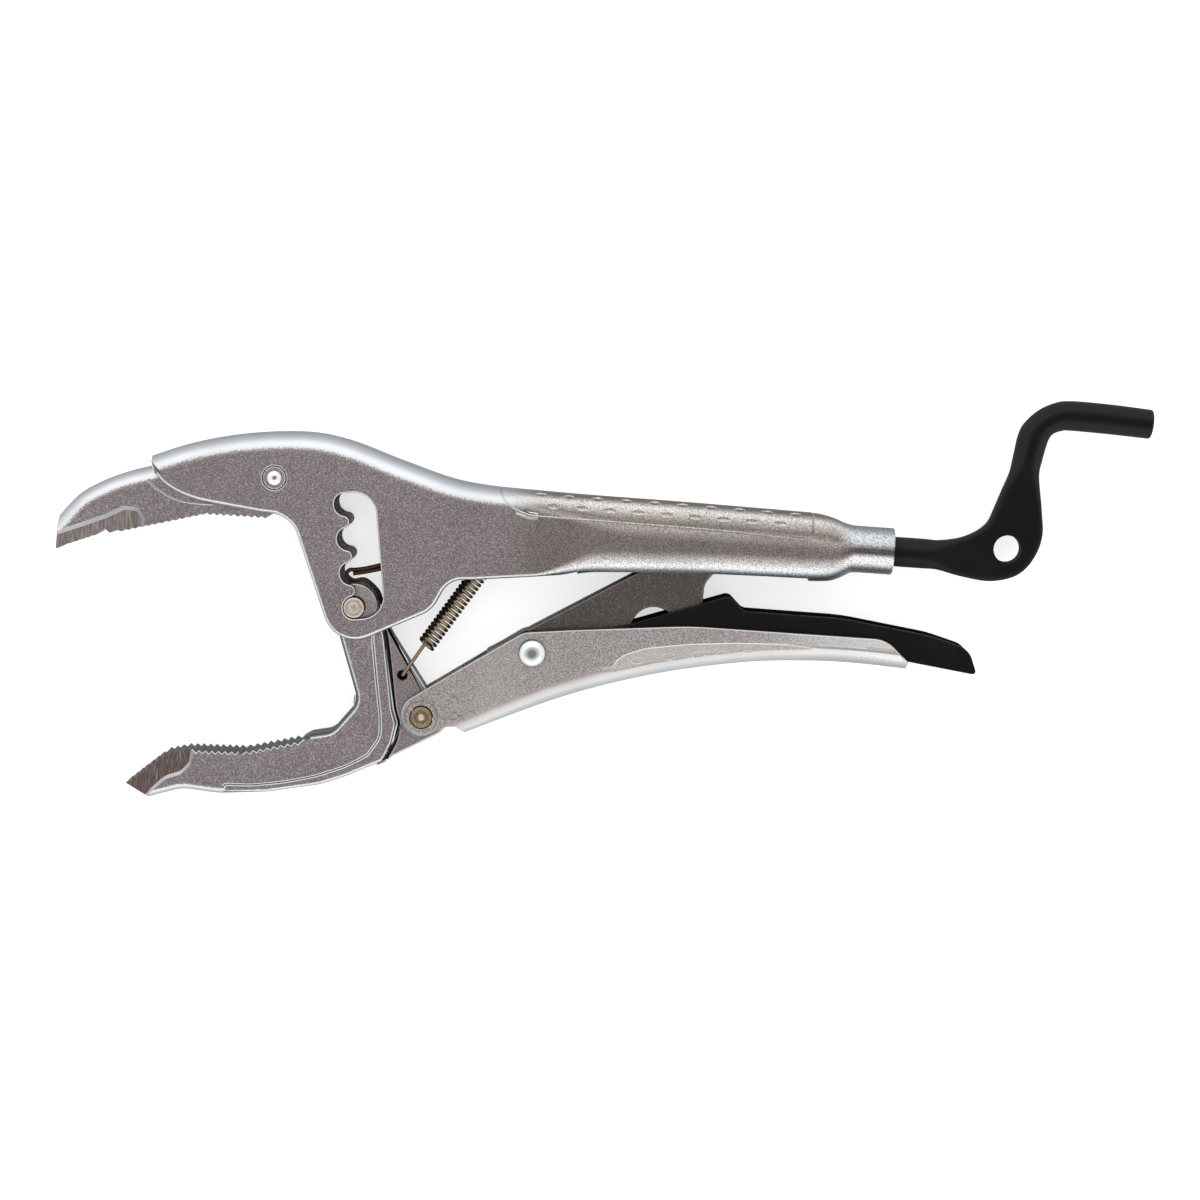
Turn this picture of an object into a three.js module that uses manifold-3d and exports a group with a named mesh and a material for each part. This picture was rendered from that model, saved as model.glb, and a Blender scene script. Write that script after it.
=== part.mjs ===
// Large-mouth locking pliers with a slotted jaw pivot and a crank on the adjusting screw.
// Millimetres. While it is drawn, +X runs along the screw axis towards the crank, +Y is the back of the
// body and Z is the thickness, with the origin on the screw axis beside the jaw pivot. The tool lies on
// its side, and its group moves that drawing so that the origin is the middle of the box's underside.

import * as THREE from 'three';
import { mergeVertices } from 'three/addons/utils/BufferGeometryUtils.js';
import Module from 'manifold-3d';

const wasm = await Module();
wasm.setup();

// ---- Driving sizes --------------------------------------------------------------------------------

const GAP = 0.3; // clearance between neighbouring solids

// Pressed body
const BODY_WIDTH = 19; // across the two side walls
const BODY_SHEET = 2.5;
const BODY_EDGE_RADIUS = 6.5; // rounding along the back
const LIP_OPENING = 11.6; // between the edges that are rolled in under the grip
const LIP_START = 71.7; // where the rolled edges begin
const TAIL_START = 150;
const TAIL_TUBE_START = 161.5;
const TAIL_END = 175;
const TAIL_RADIUS = 7.7;

// Slot for the jaw pivot: notches on one side, a free lane on the other
const NOTCH_COUNT = 4;
const NOTCH_PITCH = 11.3;
const NOTCH_LEAN = 8.3; // degrees that the row of notches leans towards the mouth
const NOTCH_TOOTH_INSET = 1.06; // how far the centre of a tooth's round tip lies behind the notch line
const LANE_WIDTH = 9.7; // from the notch line to the smooth wall
const LANE_CORNER = 7.3; // radius of the lane's two corners

// Jaws
const UPPER_JAW_WIDTH = BODY_WIDTH - 2 * BODY_SHEET - 2 * GAP;
const LOWER_JAW_WIDTH = UPPER_JAW_WIDTH;
const TOOTH_PITCH = 2.25;
const TOOTH_DEPTH = 1.0;
const JAW_WEB_WIDTH = 7; // thin plate behind the lower jaw
const ARM_RADIUS = 7.7; // round end of the lower jaw's arm
const WASHER_THICKNESS = 0.8;
const SPRING_HOLE_RADIUS = 1.8;

// Pins and rivets
const PIVOT_PIN_RADIUS = 3.4;
const JAW_RIVET_RADIUS = 3.0;
const JAW_RIVET_HEAD_RADIUS = 3.9;
const FRONT_RIVET_RADIUS = 3.6;
const LINK_RIVET_RADIUS = 3.3;
const LINK_RIVET_DOME_RADIUS = 4.6;
const LINK_RIVET_DOME_HEIGHT = 2.4;
const ANCHOR_PIN_RADIUS = 1.5;
const RIVET_HEAD_DEPTH = 1.2;

// Lower handle, toggle link and release lever
const HANDLE_WIDTH = BODY_WIDTH;
const HANDLE_SHEET = 2.4;
const HANDLE_EDGE_RADIUS = 4.2;
const JOGGLE_START = 38; // where the cheeks spread from the jaw web to the full width
const JOGGLE_END = 46;
const LEVER_SHEET = 1.5;
const LEVER_WIDTH = HANDLE_WIDTH - 2 * HANDLE_SHEET - 2 * GAP;
const LINK_WIDTH = LEVER_WIDTH - 2 * LEVER_SHEET - 2 * GAP;
const LINK_HUB_RADIUS = 7;
const LEVER_HUB_RADIUS = 6;
const LINK_NOSE_RADIUS = 4.5;
const LINK_NOSE_CLEARANCE = 2.4; // the linkage's open pivot: link nose to thrust cap

// Adjusting screw and crank
const SCREW_RADIUS = 4.9;
const CRANK_WEB_THICKNESS = 6;
const CRANK_HOLE_RADIUS = 4.5;
const CAP_LENGTH = 3;
const CAP_PEG_RADIUS = 2;
const CAP_PEG_LENGTH = 2.5;
const STOP_RING_RADIUS = 5.6;
const STOP_RING_THICKNESS = 1;

// Springs
const SPRING_RADIUS = 2.35; // to the middle of the wire
const SPRING_WIRE_RADIUS = 0.6;
const SPRING_TURNS = 22;
const KEEPER_WIRE_RADIUS = 0.55;

// Centres of the pivots, in the plane of the tool
const PIVOT = new THREE.Vector2(0, -29.7);
const FRONT_PIVOT = new THREE.Vector2(24, -64.7);
const LINK_PIVOT = new THREE.Vector2(59.1, -40.5);
const LINK_NOSE = new THREE.Vector2(116, -1.2);
const JAW_RIVET = new THREE.Vector2(-28.2, 10.9);
const SPRING_HOLE = new THREE.Vector2(16.8, -51.6);
const SPRING_ANCHOR = new THREE.Vector2(48, -7);
const CRANK_HOLE = new THREE.Vector2(212.2, 3.5);

// ---- Finishes -------------------------------------------------------------------------------------

const SATIN_NICKEL = { color: 0x8d8783, roughness: 0.38, metalness: 1 };
const BRIGHT_ZINC = { color: 0xd5d8da, roughness: 0.18, metalness: 1 };
const PALE_STEEL = { color: 0xc9bfae, roughness: 0.35, metalness: 1 };
const YELLOW_ZINC = { color: 0xb39362, roughness: 0.3, metalness: 1 };
const GUNMETAL = { color: 0x4b4845, roughness: 0.45, metalness: 1 };
const BLACK_OXIDE = { color: 0x1b1b1c, roughness: 0.55, metalness: 0.4 };
const BLACK_GLOSS = { color: 0x151413, roughness: 0.3, metalness: 0.3 };
const SPRING_STEEL = { color: 0x4a4032, roughness: 0.4, metalness: 1 };

// ---- Solids ---------------------------------------------------------------------------------------

const ARC_STEP = THREE.MathUtils.degToRad(18); // largest step along an arc of an outline
const ROUND_SEGMENTS = 28; // per full turn of a pin

function solid(geometry) {
  geometry.deleteAttribute('normal');
  geometry.deleteAttribute('uv');
  const merged = mergeVertices(geometry, 1e-4);
  return new wasm.Manifold(new wasm.Mesh({
    numProp: 3,
    vertProperties: merged.attributes.position.array,
    triVerts: merged.index.array,
  }));
}

function part(name, manifold, finish) {
  const cut = manifold.getMesh();
  const geometry = new THREE.BufferGeometry();
  geometry.setAttribute('position', new THREE.BufferAttribute(cut.vertProperties, 3));
  geometry.setIndex(new THREE.BufferAttribute(cut.triVerts, 1));
  geometry.computeVertexNormals();
  const mesh = new THREE.Mesh(geometry, new THREE.MeshStandardMaterial(finish));
  mesh.name = name;
  return mesh;
}

// Points along an arc, from one angle to the other.
function arc(x, y, radius, from, to) {
  const count = Math.max(2, Math.ceil(Math.abs(to - from) / ARC_STEP));
  return Array.from({ length: count + 1 }, (_, i) => {
    const angle = from + (to - from) * (i / count);
    return new THREE.Vector2(x + radius * Math.cos(angle), y + radius * Math.sin(angle));
  });
}

// Straight-sided corners [x, y, radius], each rounded by an arc of its radius where it has one.
function filleted(corners) {
  const count = corners.length;
  return corners.flatMap(([x, y, radius = 0], i) => {
    const corner = new THREE.Vector2(x, y);
    if (radius === 0) return [corner];
    const before = new THREE.Vector2(...corners[(i + count - 1) % count]).sub(corner).normalize();
    const after = new THREE.Vector2(...corners[(i + 1) % count]).sub(corner).normalize();
    const half = Math.acos(before.dot(after)) / 2;
    const middle = before.clone().add(after).normalize().multiplyScalar(radius / Math.sin(half)).add(corner);
    const start = corner.clone().addScaledVector(before, radius / Math.tan(half)).sub(middle).angle();
    const end = corner.clone().addScaledVector(after, radius / Math.tan(half)).sub(middle).angle();
    const turn = THREE.MathUtils.euclideanModulo(end - start + Math.PI, 2 * Math.PI) - Math.PI;
    return arc(middle.x, middle.y, radius, start, start + turn);
  });
}

function disc(centre, radius, segments = ROUND_SEGMENTS) {
  return Array.from({ length: segments }, (_, i) => {
    const angle = 2 * Math.PI * i / segments;
    return new THREE.Vector2(centre.x + radius * Math.cos(angle), centre.y + radius * Math.sin(angle));
  });
}

// A plate of the outline, in the plane of the tool, centred on its middle plane.
function plate(outline, width) {
  const geometry = new THREE.ExtrudeGeometry(new THREE.Shape(outline), { depth: width, bevelEnabled: false });
  geometry.translate(0, 0, -width / 2);
  return solid(geometry);
}

// The same plate with its edges rounded. Nothing in the outline may be tighter than the rounding.
function roundedPlate(outline, width, radius, steps = 3) {
  const geometry = new THREE.ExtrudeGeometry(new THREE.Shape(outline), {
    depth: width - 2 * radius,
    bevelThickness: radius,
    bevelSize: radius,
    bevelOffset: -radius,
    bevelSegments: steps,
  });
  geometry.translate(0, 0, radius - width / 2);
  return solid(geometry);
}

// A plate whose edges are rounded along one side only: the line, closed by a far box on its other side.
function roundedAlong(line, farY, width, radius, steps = 3) {
  const last = line[line.length - 1];
  const ends = [new THREE.Vector2(last.x, farY), new THREE.Vector2(line[0].x, farY)];
  return roundedPlate([...line, ...ends], width, radius, steps);
}

// A solid with the given outline seen from the back of the tool: pairs of [x, half width], mirrored.
function planBlock(stations) {
  const near = stations.map(([x, half]) => new THREE.Vector2(x, half));
  const far = stations.map(([x, half]) => new THREE.Vector2(x, -half)).reverse();
  const depth = 400;
  const geometry = new THREE.ExtrudeGeometry(new THREE.Shape([...near, ...far]), {
    depth, bevelEnabled: false,
  });
  geometry.translate(0, 0, -depth / 2);
  geometry.rotateX(Math.PI / 2);
  return solid(geometry);
}

// A pin through the tool's thickness, from one height to the other.
function pin(centre, radius, low, high) {
  const geometry = new THREE.CylinderGeometry(radius, radius, high - low, ROUND_SEGMENTS);
  geometry.rotateX(Math.PI / 2);
  geometry.translate(centre.x, centre.y, (low + high) / 2);
  return solid(geometry);
}

// A round solid about the screw axis, from pairs of [x, radius].
function turned(profile) {
  const first = profile[0];
  const last = profile[profile.length - 1];
  const points = [[first[0], 0], ...profile, [last[0], 0]].map(([x, radius]) => new THREE.Vector2(radius, x));
  const geometry = new THREE.LatheGeometry(points, ROUND_SEGMENTS);
  geometry.rotateZ(-Math.PI / 2);
  return solid(geometry);
}

// A round bar or wire along a curve.
function bar(path, radius, steps, sides) {
  const geometry = new THREE.ExtrudeGeometry(new THREE.Shape(disc(new THREE.Vector2(), radius, sides)), {
    steps, extrudePath: path, bevelEnabled: false,
  });
  return solid(geometry);
}

// ---- Outlines shared by neighbours ----------------------------------------------------------------

function smooth(points, count) {
  return new THREE.SplineCurve(points.map(([x, y]) => new THREE.Vector2(x, y))).getPoints(count);
}

function lowered(points, drop, from = -Infinity, to = Infinity) {
  return points.filter(({ x }) => x >= from && x <= to).map(({ x, y }) => [x, y - drop]);
}

// The body's back, from the mouth to the tail.
const BACK = smooth([
  [-69.6, 15.3], [-56.3, 20.4], [-39.3, 24.6], [-19.7, 26.5], [-4.9, 24.8], [15.2, 18.6], [35.2, 13.5],
  [64.7, 12.2], [104, 11.8], [TAIL_START, 11],
], 26);

// The rolled edges under the grip.
const GRIP_EDGE = smooth([[LIP_START - 8, -14.1], [112, -11.2], [TAIL_START + 3, -10.3]], 6);

// The handle's rounded bottom, from its front step to the tail.
const HANDLE_STEP = 38.4;
const HANDLE_BOTTOM = smooth([
  [HANDLE_STEP, -68.2], [69.1, -54.4], [98.6, -44.9], [128.3, -38.9], [150, -36.9], [165, -36.8], [181.3, -37.6],
], 18);

// The body's side, from the tail's underside round to the mouth.
const BODY_FRONT = [
  [38, -16.9, 12], [30.4, -18.6, 7], [25.3, -29, 9], [-5.2, -44.4, 10.8], [-22.8, -0.8, 9], [-50, 1.3, 10],
  [-66.4, 6.4, 3],
];

// Unit vector along the row of notches.
const NOTCH_ANGLE = THREE.MathUtils.degToRad(NOTCH_LEAN);

// The slot: notches that fit the pivot pin, round teeth between them and a lane beside them that the
// pin can climb. Drawn with the lowest notch at the origin and the row along +Y, then set in place.
function slotOutline() {
  const notch = PIVOT_PIN_RADIUS + GAP;
  const tooth = Math.hypot(NOTCH_PITCH / 2, NOTCH_TOOTH_INSET) - notch;
  const tilt = Math.atan2(NOTCH_TOOTH_INSET, NOTCH_PITCH / 2);
  const quarter = Math.PI / 2;
  const top = (NOTCH_COUNT - 1) * NOTCH_PITCH;
  const laneCentre = LANE_WIDTH - LANE_CORNER;
  const points = [
    ...arc(laneCentre, LANE_CORNER - notch, LANE_CORNER, -quarter, 0),
    ...arc(laneCentre, top + notch - LANE_CORNER, LANE_CORNER, 0, quarter),
  ];
  for (let i = NOTCH_COUNT - 1; i >= 0; i -= 1) {
    const y = i * NOTCH_PITCH;
    const from = i === NOTCH_COUNT - 1 ? quarter : quarter + tilt;
    const to = i === 0 ? 3 * quarter : 3 * quarter - tilt;
    points.push(...arc(0, y, notch, from, to));
    if (i > 0) {
      const gum = arc(-NOTCH_TOOTH_INSET, y - NOTCH_PITCH / 2, tooth, quarter - tilt, tilt - quarter);
      points.push(...gum.slice(1, -1));
    }
  }
  return points.map((point) => point.rotateAround(new THREE.Vector2(), NOTCH_ANGLE).add(PIVOT));
}

// A row of teeth between two points: a crest on the straight line, then a root at the depth beside it.
function toothRow([fromX, fromY], [toX, toY]) {
  const from = new THREE.Vector2(fromX, fromY);
  const run = new THREE.Vector2(toX, toY).sub(from);
  const count = Math.round(run.length() / TOOTH_PITCH);
  const inwards = new THREE.Vector2(run.y, -run.x).normalize().multiplyScalar(TOOTH_DEPTH);
  return Array.from({ length: count }, (_, i) => {
    const crest = from.clone().addScaledVector(run, (i + 0.15) / count);
    const root = from.clone().addScaledVector(run, (i + 0.65) / count).add(inwards);
    return [[crest.x, crest.y], [root.x, root.y]];
  }).flat();
}

function through(centre, radius) {
  return pin(centre, radius, -BODY_WIDTH, BODY_WIDTH);
}

// ---- Body -----------------------------------------------------------------------------------------

const BODY_INSIDE = BODY_WIDTH - 2 * BODY_SHEET;
const CAVITY_END = TAIL_START - 2;

function bodyShell() {
  const outline = filleted([
    ...lowered(BACK, 0), [TAIL_TUBE_START, TAIL_RADIUS], [TAIL_TUBE_START, 0.2 - TAIL_RADIUS],
    ...lowered([...GRIP_EDGE].reverse(), 0), ...BODY_FRONT,
  ]);
  const backLine = [[-95, 2], ...lowered(BACK, 0), [TAIL_TUBE_START, TAIL_RADIUS], [TAIL_END + 20, TAIL_RADIUS]];
  const gripLine = [...lowered(GRIP_EDGE, 0), [TAIL_TUBE_START, -TAIL_RADIUS], [TAIL_END + 20, -TAIL_RADIUS]];
  const bladeLimit = filleted([[-95, -95], [LIP_START, -95], [LIP_START, 60], [-95, 60]]);
  const taper = [
    [-95, BODY_WIDTH / 2], [TAIL_START - 4, BODY_WIDTH / 2], [TAIL_START + 3, BODY_WIDTH / 2 - 0.6],
    [TAIL_TUBE_START, TAIL_RADIUS], [TAIL_END, TAIL_RADIUS],
  ];
  const roof = lowered(BACK, BODY_SHEET);
  const frontCavity = filleted([[-95, 2], ...roof.filter(([x]) => x < LIP_START), [LIP_START, 9], [LIP_START, -80], [-95, -80]]);
  const gripCavity = filleted([
    ...roof.filter(([x]) => x > LIP_START - 10 && x < CAVITY_END), [CAVITY_END, 11 - BODY_SHEET],
    [CAVITY_END, BODY_SHEET - 10.4], ...lowered([...GRIP_EDGE].reverse(), -BODY_SHEET, LIP_START - 8, CAVITY_END - 1),
  ]);
  const opening = filleted([[LIP_START - 8, 0], [CAVITY_END, 0], [CAVITY_END, -30], [LIP_START - 8, -30]]);
  const headPocket = BODY_WIDTH / 2 - RIVET_HEAD_DEPTH;
  return plate(outline, BODY_WIDTH)
    .intersect(roundedAlong(filleted(backLine), -150, BODY_WIDTH, BODY_EDGE_RADIUS))
    .intersect(roundedAlong(filleted(gripLine), 150, BODY_WIDTH, BODY_EDGE_RADIUS).add(plate(bladeLimit, BODY_WIDTH)))
    .intersect(planBlock(taper))
    .add(turned([[TAIL_TUBE_START - 3, TAIL_RADIUS], [TAIL_END - 0.5, TAIL_RADIUS], [TAIL_END, TAIL_RADIUS - 0.5]]))
    .subtract(plate(frontCavity, BODY_INSIDE))
    .subtract(plate(gripCavity, BODY_INSIDE))
    .subtract(plate(opening, LIP_OPENING))
    .subtract(turned([[CAVITY_END - 5, SCREW_RADIUS + GAP], [TAIL_END + 5, SCREW_RADIUS + GAP]]))
    .subtract(plate(slotOutline(), 2 * BODY_WIDTH))
    .subtract(through(JAW_RIVET, JAW_RIVET_RADIUS + GAP))
    .subtract(pin(JAW_RIVET, JAW_RIVET_HEAD_RADIUS + GAP, headPocket, BODY_WIDTH))
    .subtract(pin(JAW_RIVET, JAW_RIVET_HEAD_RADIUS + GAP, -BODY_WIDTH, -headPocket));
}

function upperJaw() {
  const outline = filleted([
    [-98.8, -17.4, 0.8], [-97.6, -3.6, 1.5], [-86.7, 4.4, 30], [-70.5, 12.1, 8],
    ...lowered(BACK, BODY_SHEET + GAP, -62, -18),
    [-14.8, 20.3, 3], [-15.4, 9, 5], [-24.5, 1.5, 4],
    ...toothRow([-30.6, -2.6], [-50.8, -2.6]), ...toothRow([-50.8, -2.6], [-79.5, -10.6]),
    [-81.5, -10.8], [-83.3, -9.4], [-85.4, -11.3],
  ]);
  return plate(outline, UPPER_JAW_WIDTH).subtract(through(JAW_RIVET, JAW_RIVET_RADIUS + GAP));
}

function upperJawRivet() {
  const end = BODY_WIDTH / 2 - 0.1;
  const underHead = BODY_WIDTH / 2 - RIVET_HEAD_DEPTH + GAP;
  return pin(JAW_RIVET, JAW_RIVET_RADIUS, -end, end)
    .add(pin(JAW_RIVET, JAW_RIVET_HEAD_RADIUS, underHead, end))
    .add(pin(JAW_RIVET, JAW_RIVET_HEAD_RADIUS, -end, -underHead));
}

function springAnchorPin() {
  const end = BODY_INSIDE / 2 - GAP;
  return pin(SPRING_ANCHOR, ANCHOR_PIN_RADIUS, -end, end);
}

// ---- Jaw pivot ------------------------------------------------------------------------------------

const WASHER_OUTSIDE = BODY_INSIDE / 2 - GAP;
const WASHER_INSIDE = WASHER_OUTSIDE - WASHER_THICKNESS;
const ARM_HALF_WIDTH = WASHER_INSIDE - GAP;

function jawPivotPin() {
  const end = BODY_WIDTH / 2 - 0.2;
  return pin(PIVOT, PIVOT_PIN_RADIUS, -end, end);
}

function pivotWasher(low, high) {
  return pin(PIVOT, ARM_RADIUS - 0.1, low, high).subtract(through(PIVOT, PIVOT_PIN_RADIUS + GAP));
}

// ---- Lower jaw ------------------------------------------------------------------------------------

function lowerJaw() {
  const forging = filleted([
    [-62.3, -96.4, 1.2], [-70.2, -91.5, 0.6],
    ...toothRow([-68.6, -89.2], [-57.2, -79.4]), ...toothRow([-56.6, -79], [-50.6, -77.3]),
    ...toothRow([-50.2, -77.2], [-31.3, -76.6]), ...toothRow([-31, -76.5], [-13.5, -72]),
    [-12.6, -71.6], [-10.6, -70.4, 1], [-3.9, -69.4, 4], [3.3, -60.5, 4], [-ARM_RADIUS, PIVOT.y],
    [ARM_RADIUS, PIVOT.y], [10.6, -38.5, 15], [14.6, -61.9, 5], [16.2, -66.5, 3], [15, -73, 4],
    [11.5, -79.8, 3], [1, -84.9, 20], [-7.2, -88.2, 20], [-24, -91.6, 20], [-40, -93.2, 20], [-52, -92.3, 10],
  ]);
  const web = filleted([[5, PIVOT.y], [7.6, PIVOT.y], [13.9, -38.6, 3], [34.2, -67.0, 4.5], [12, -79.6], [0, -82]]);
  const relief = pin(PIVOT, ARM_RADIUS + 0.6, ARM_HALF_WIDTH, BODY_WIDTH)
    .add(pin(PIVOT, ARM_RADIUS + 0.6, -BODY_WIDTH, -ARM_HALF_WIDTH));
  return plate(forging, LOWER_JAW_WIDTH)
    .add(pin(PIVOT, ARM_RADIUS, -ARM_HALF_WIDTH, ARM_HALF_WIDTH))
    .subtract(relief)
    .add(plate(web, JAW_WEB_WIDTH))
    .subtract(through(PIVOT, PIVOT_PIN_RADIUS + GAP))
    .subtract(through(FRONT_PIVOT, FRONT_RIVET_RADIUS + GAP))
    .subtract(through(SPRING_HOLE, SPRING_HOLE_RADIUS));
}

function keeperWire() {
  const bends = [[12.4, -34.4], [11.4, -26], [9.2, -18.6], [3, -18.6], [-2.4, -19.3], [-3.5, -18.0], [-2.2, -16.8], [8.4, -14.6]];
  const route = new THREE.CatmullRomCurve3(bends.map(([x, y]) => new THREE.Vector3(x, y, 0)));
  return bar(route, KEEPER_WIRE_RADIUS, 34, 8);
}

function frontRivet() {
  const end = JAW_WEB_WIDTH / 2 + GAP + HANDLE_SHEET + 0.3;
  return pin(FRONT_PIVOT, FRONT_RIVET_RADIUS, -end, end);
}

// ---- Lower handle ---------------------------------------------------------------------------------

function lowerHandle() {
  const wide = HANDLE_WIDTH / 2;
  const inside = wide - HANDLE_SHEET;
  const webSide = JAW_WEB_WIDTH / 2 + GAP;
  const narrow = webSide + HANDLE_SHEET;
  const outline = filleted([
    ...lowered([...HANDLE_BOTTOM].reverse(), 0), [35.8, -66.2, 1], [33.0, -66.2, 2], [20.6, -72.5, 6], [16, -61.4, 6.2],
    [55.9, -34.0, 8], [70, -32.3, 30], [110, -28.2, 90], [168, -26.9, 14], [182.2, -35.4, 1],
  ]);
  const bottomLine = [[10, -81], ...lowered(HANDLE_BOTTOM, 0), [200, -38.5]];
  const frontBlock = filleted([[0, -90], [HANDLE_STEP, -90], [HANDLE_STEP, -20], [0, -20]]);
  const cavity = filleted([
    ...lowered(HANDLE_BOTTOM, -HANDLE_SHEET), [200, -37], [200, 0], [0, 0], [0, -90], [HANDLE_STEP - 0.5, -90],
  ]);
  const outerPlan = [[0, narrow], [JOGGLE_START, narrow], [JOGGLE_END, wide], [165, wide], [190, wide - 0.8]];
  const innerPlan = [[0, webSide], [JOGGLE_START, webSide], [JOGGLE_END, inside], [210, inside]];
  return plate(outline, HANDLE_WIDTH)
    .intersect(roundedAlong(filleted(bottomLine), 150, HANDLE_WIDTH, HANDLE_EDGE_RADIUS).add(plate(frontBlock, HANDLE_WIDTH)))
    .intersect(planBlock(outerPlan))
    .subtract(plate(cavity, HANDLE_WIDTH).intersect(planBlock(innerPlan)))
    .subtract(through(FRONT_PIVOT, FRONT_RIVET_RADIUS + GAP))
    .subtract(through(LINK_PIVOT, LINK_RIVET_RADIUS + GAP));
}

function linkRivet() {
  const face = HANDLE_WIDTH / 2 + GAP;
  const sphere = (LINK_RIVET_DOME_RADIUS ** 2 + LINK_RIVET_DOME_HEIGHT ** 2) / (2 * LINK_RIVET_DOME_HEIGHT);
  const dome = new THREE.SphereGeometry(sphere, ROUND_SEGMENTS, 16);
  dome.translate(LINK_PIVOT.x, LINK_PIVOT.y, face + LINK_RIVET_DOME_HEIGHT - sphere);
  return solid(dome).intersect(pin(LINK_PIVOT, LINK_RIVET_DOME_RADIUS + 1, face, face + 10))
    .add(pin(LINK_PIVOT, LINK_RIVET_RADIUS, 0.1 - HANDLE_WIDTH / 2, face + 0.5));
}

// ---- Toggle link and release lever ----------------------------------------------------------------

function toggleLink() {
  const outline = filleted([
    [LINK_NOSE.x + LINK_NOSE_RADIUS, LINK_NOSE.y + LINK_NOSE_RADIUS, LINK_NOSE_RADIUS - 0.1], [112.3, 3.3, 3.5],
    [107, -3.4, 6], [67, -25.8, 5], [52.5, -38.5], [59, -47.3], [63, -46.2], [75, -39.5, 6], [89, -33.6], [103, -31.2],
    [113.4, -31.2, 1], [113.9, -14.5, 5], [LINK_NOSE.x + LINK_NOSE_RADIUS, -5.9, 3],
  ]);
  const cutOut = new THREE.Vector2(98.2, -30.4);
  return plate(outline, LINK_WIDTH)
    .add(pin(LINK_PIVOT, LINK_HUB_RADIUS, -LINK_WIDTH / 2, LINK_WIDTH / 2))
    .subtract(through(cutOut, 7.2))
    .subtract(through(LINK_PIVOT, LINK_RIVET_RADIUS + GAP));
}

function releaseLever() {
  const underside = lowered(HANDLE_BOTTOM, -HANDLE_SHEET - GAP, 76, 182).reverse();
  const floor = lowered(HANDLE_BOTTOM, -HANDLE_SHEET - GAP - LEVER_SHEET, 76, 182);
  const tail = [204, -37.6];
  const outline = filleted([
    [88.6, -29.8, 20], [122.2, -18.1, 1.4], [127.2, -22.3, 1.5], [160, -22.6, 60], [198.4, -27.6, 8],
    [...tail, 1.2], ...underside, [66, -46.2, 4], [57, -46, 2], [54, -37.5], [60, -34.4, 2], [70, -34.2, 20],
  ]);
  const cavity = filleted([[60, -52], [floor[0][0], -52], ...floor, [tail[0] + 10, tail[1] + LEVER_SHEET - 2.3], [230, 0], [40, 0], [40, -52]]);
  return plate(outline, LEVER_WIDTH)
    .intersect(roundedAlong(filleted([[30, -68], ...[...underside].reverse(), tail, [220, -42]]), 100, LEVER_WIDTH, 1.2, 2))
    .add(pin(LINK_PIVOT, LEVER_HUB_RADIUS, -LEVER_WIDTH / 2, LEVER_WIDTH / 2))
    .subtract(plate(cavity, LEVER_WIDTH - 2 * LEVER_SHEET))
    .subtract(through(LINK_PIVOT, LINK_RIVET_RADIUS + GAP));
}

// ---- Adjusting screw ------------------------------------------------------------------------------

const CAP_FACE = LINK_NOSE.x + LINK_NOSE_RADIUS + LINK_NOSE_CLEARANCE;
const CAP_BACK = CAP_FACE + CAP_LENGTH;
const SCREW_TIP = CAP_BACK + GAP;
const STOP_RING_START = SCREW_TIP + 4;
const STOP_RING_END = STOP_RING_START + STOP_RING_THICKNESS;
const STOP_GROOVE_RADIUS = SCREW_RADIUS - 0.9;

function thrustCap() {
  return turned([
    [CAP_FACE, SCREW_RADIUS - 1], [CAP_FACE + 1, SCREW_RADIUS], [CAP_BACK, SCREW_RADIUS],
    [CAP_BACK, CAP_PEG_RADIUS], [CAP_BACK + CAP_PEG_LENGTH, CAP_PEG_RADIUS],
  ]);
}

function crankScrew() {
  const web = filleted([
    [186, 4.4], [194, 4.9, 12], [204.2, 9.3, 6], [211.3, 28.6, 3], [220.8, 28.6, 3], [224.8, 11, 20],
    [220.5, -8.0, 12], [201, -8.0, 14], [190.5, -4.5, 8], [186, -4.4],
  ]);
  const elbow = [[215.5, 25.5], [218.1, 39.5], [219.8, 49.0], [229.8, 48.6], [256.6, 47.3]];
  const [foot, bendStart, bend, bendEnd, grip] = elbow.map(([x, y]) => new THREE.Vector3(x, y, 0));
  const arm = new THREE.CurvePath();
  arm.add(new THREE.LineCurve3(foot, bendStart));
  arm.add(new THREE.QuadraticBezierCurve3(bendStart, bend, bendEnd));
  arm.add(new THREE.LineCurve3(bendEnd, grip));
  const ringGroove = turned([[STOP_RING_START - GAP, SCREW_RADIUS + 1], [STOP_RING_END + GAP, SCREW_RADIUS + 1]])
    .subtract(turned([[STOP_RING_START - 1, STOP_GROOVE_RADIUS], [STOP_RING_END + 1, STOP_GROOVE_RADIUS]]));
  return turned([[SCREW_TIP, SCREW_RADIUS], [186, SCREW_RADIUS], [192, SCREW_RADIUS - 1.5]])
    .add(plate(web, CRANK_WEB_THICKNESS))
    .add(bar(arm, SCREW_RADIUS, 24, 18))
    .subtract(through(CRANK_HOLE, CRANK_HOLE_RADIUS))
    .subtract(turned([[SCREW_TIP - 1, CAP_PEG_RADIUS + GAP], [CAP_BACK + CAP_PEG_LENGTH + GAP, CAP_PEG_RADIUS + GAP]]))
    .subtract(ringGroove);
}

function screwStopRing() {
  return turned([[STOP_RING_START, STOP_RING_RADIUS], [STOP_RING_END, STOP_RING_RADIUS]])
    .subtract(turned([[STOP_RING_START - 1, STOP_GROOVE_RADIUS + GAP], [STOP_RING_END + 1, STOP_GROOVE_RADIUS + GAP]]));
}

// ---- Jaw spring -----------------------------------------------------------------------------------

const SPRING_BOTTOM = new THREE.Vector3(24.2, -40.6, 0);
const SPRING_TOP = new THREE.Vector3(44.0, -12.2, 0);

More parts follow.
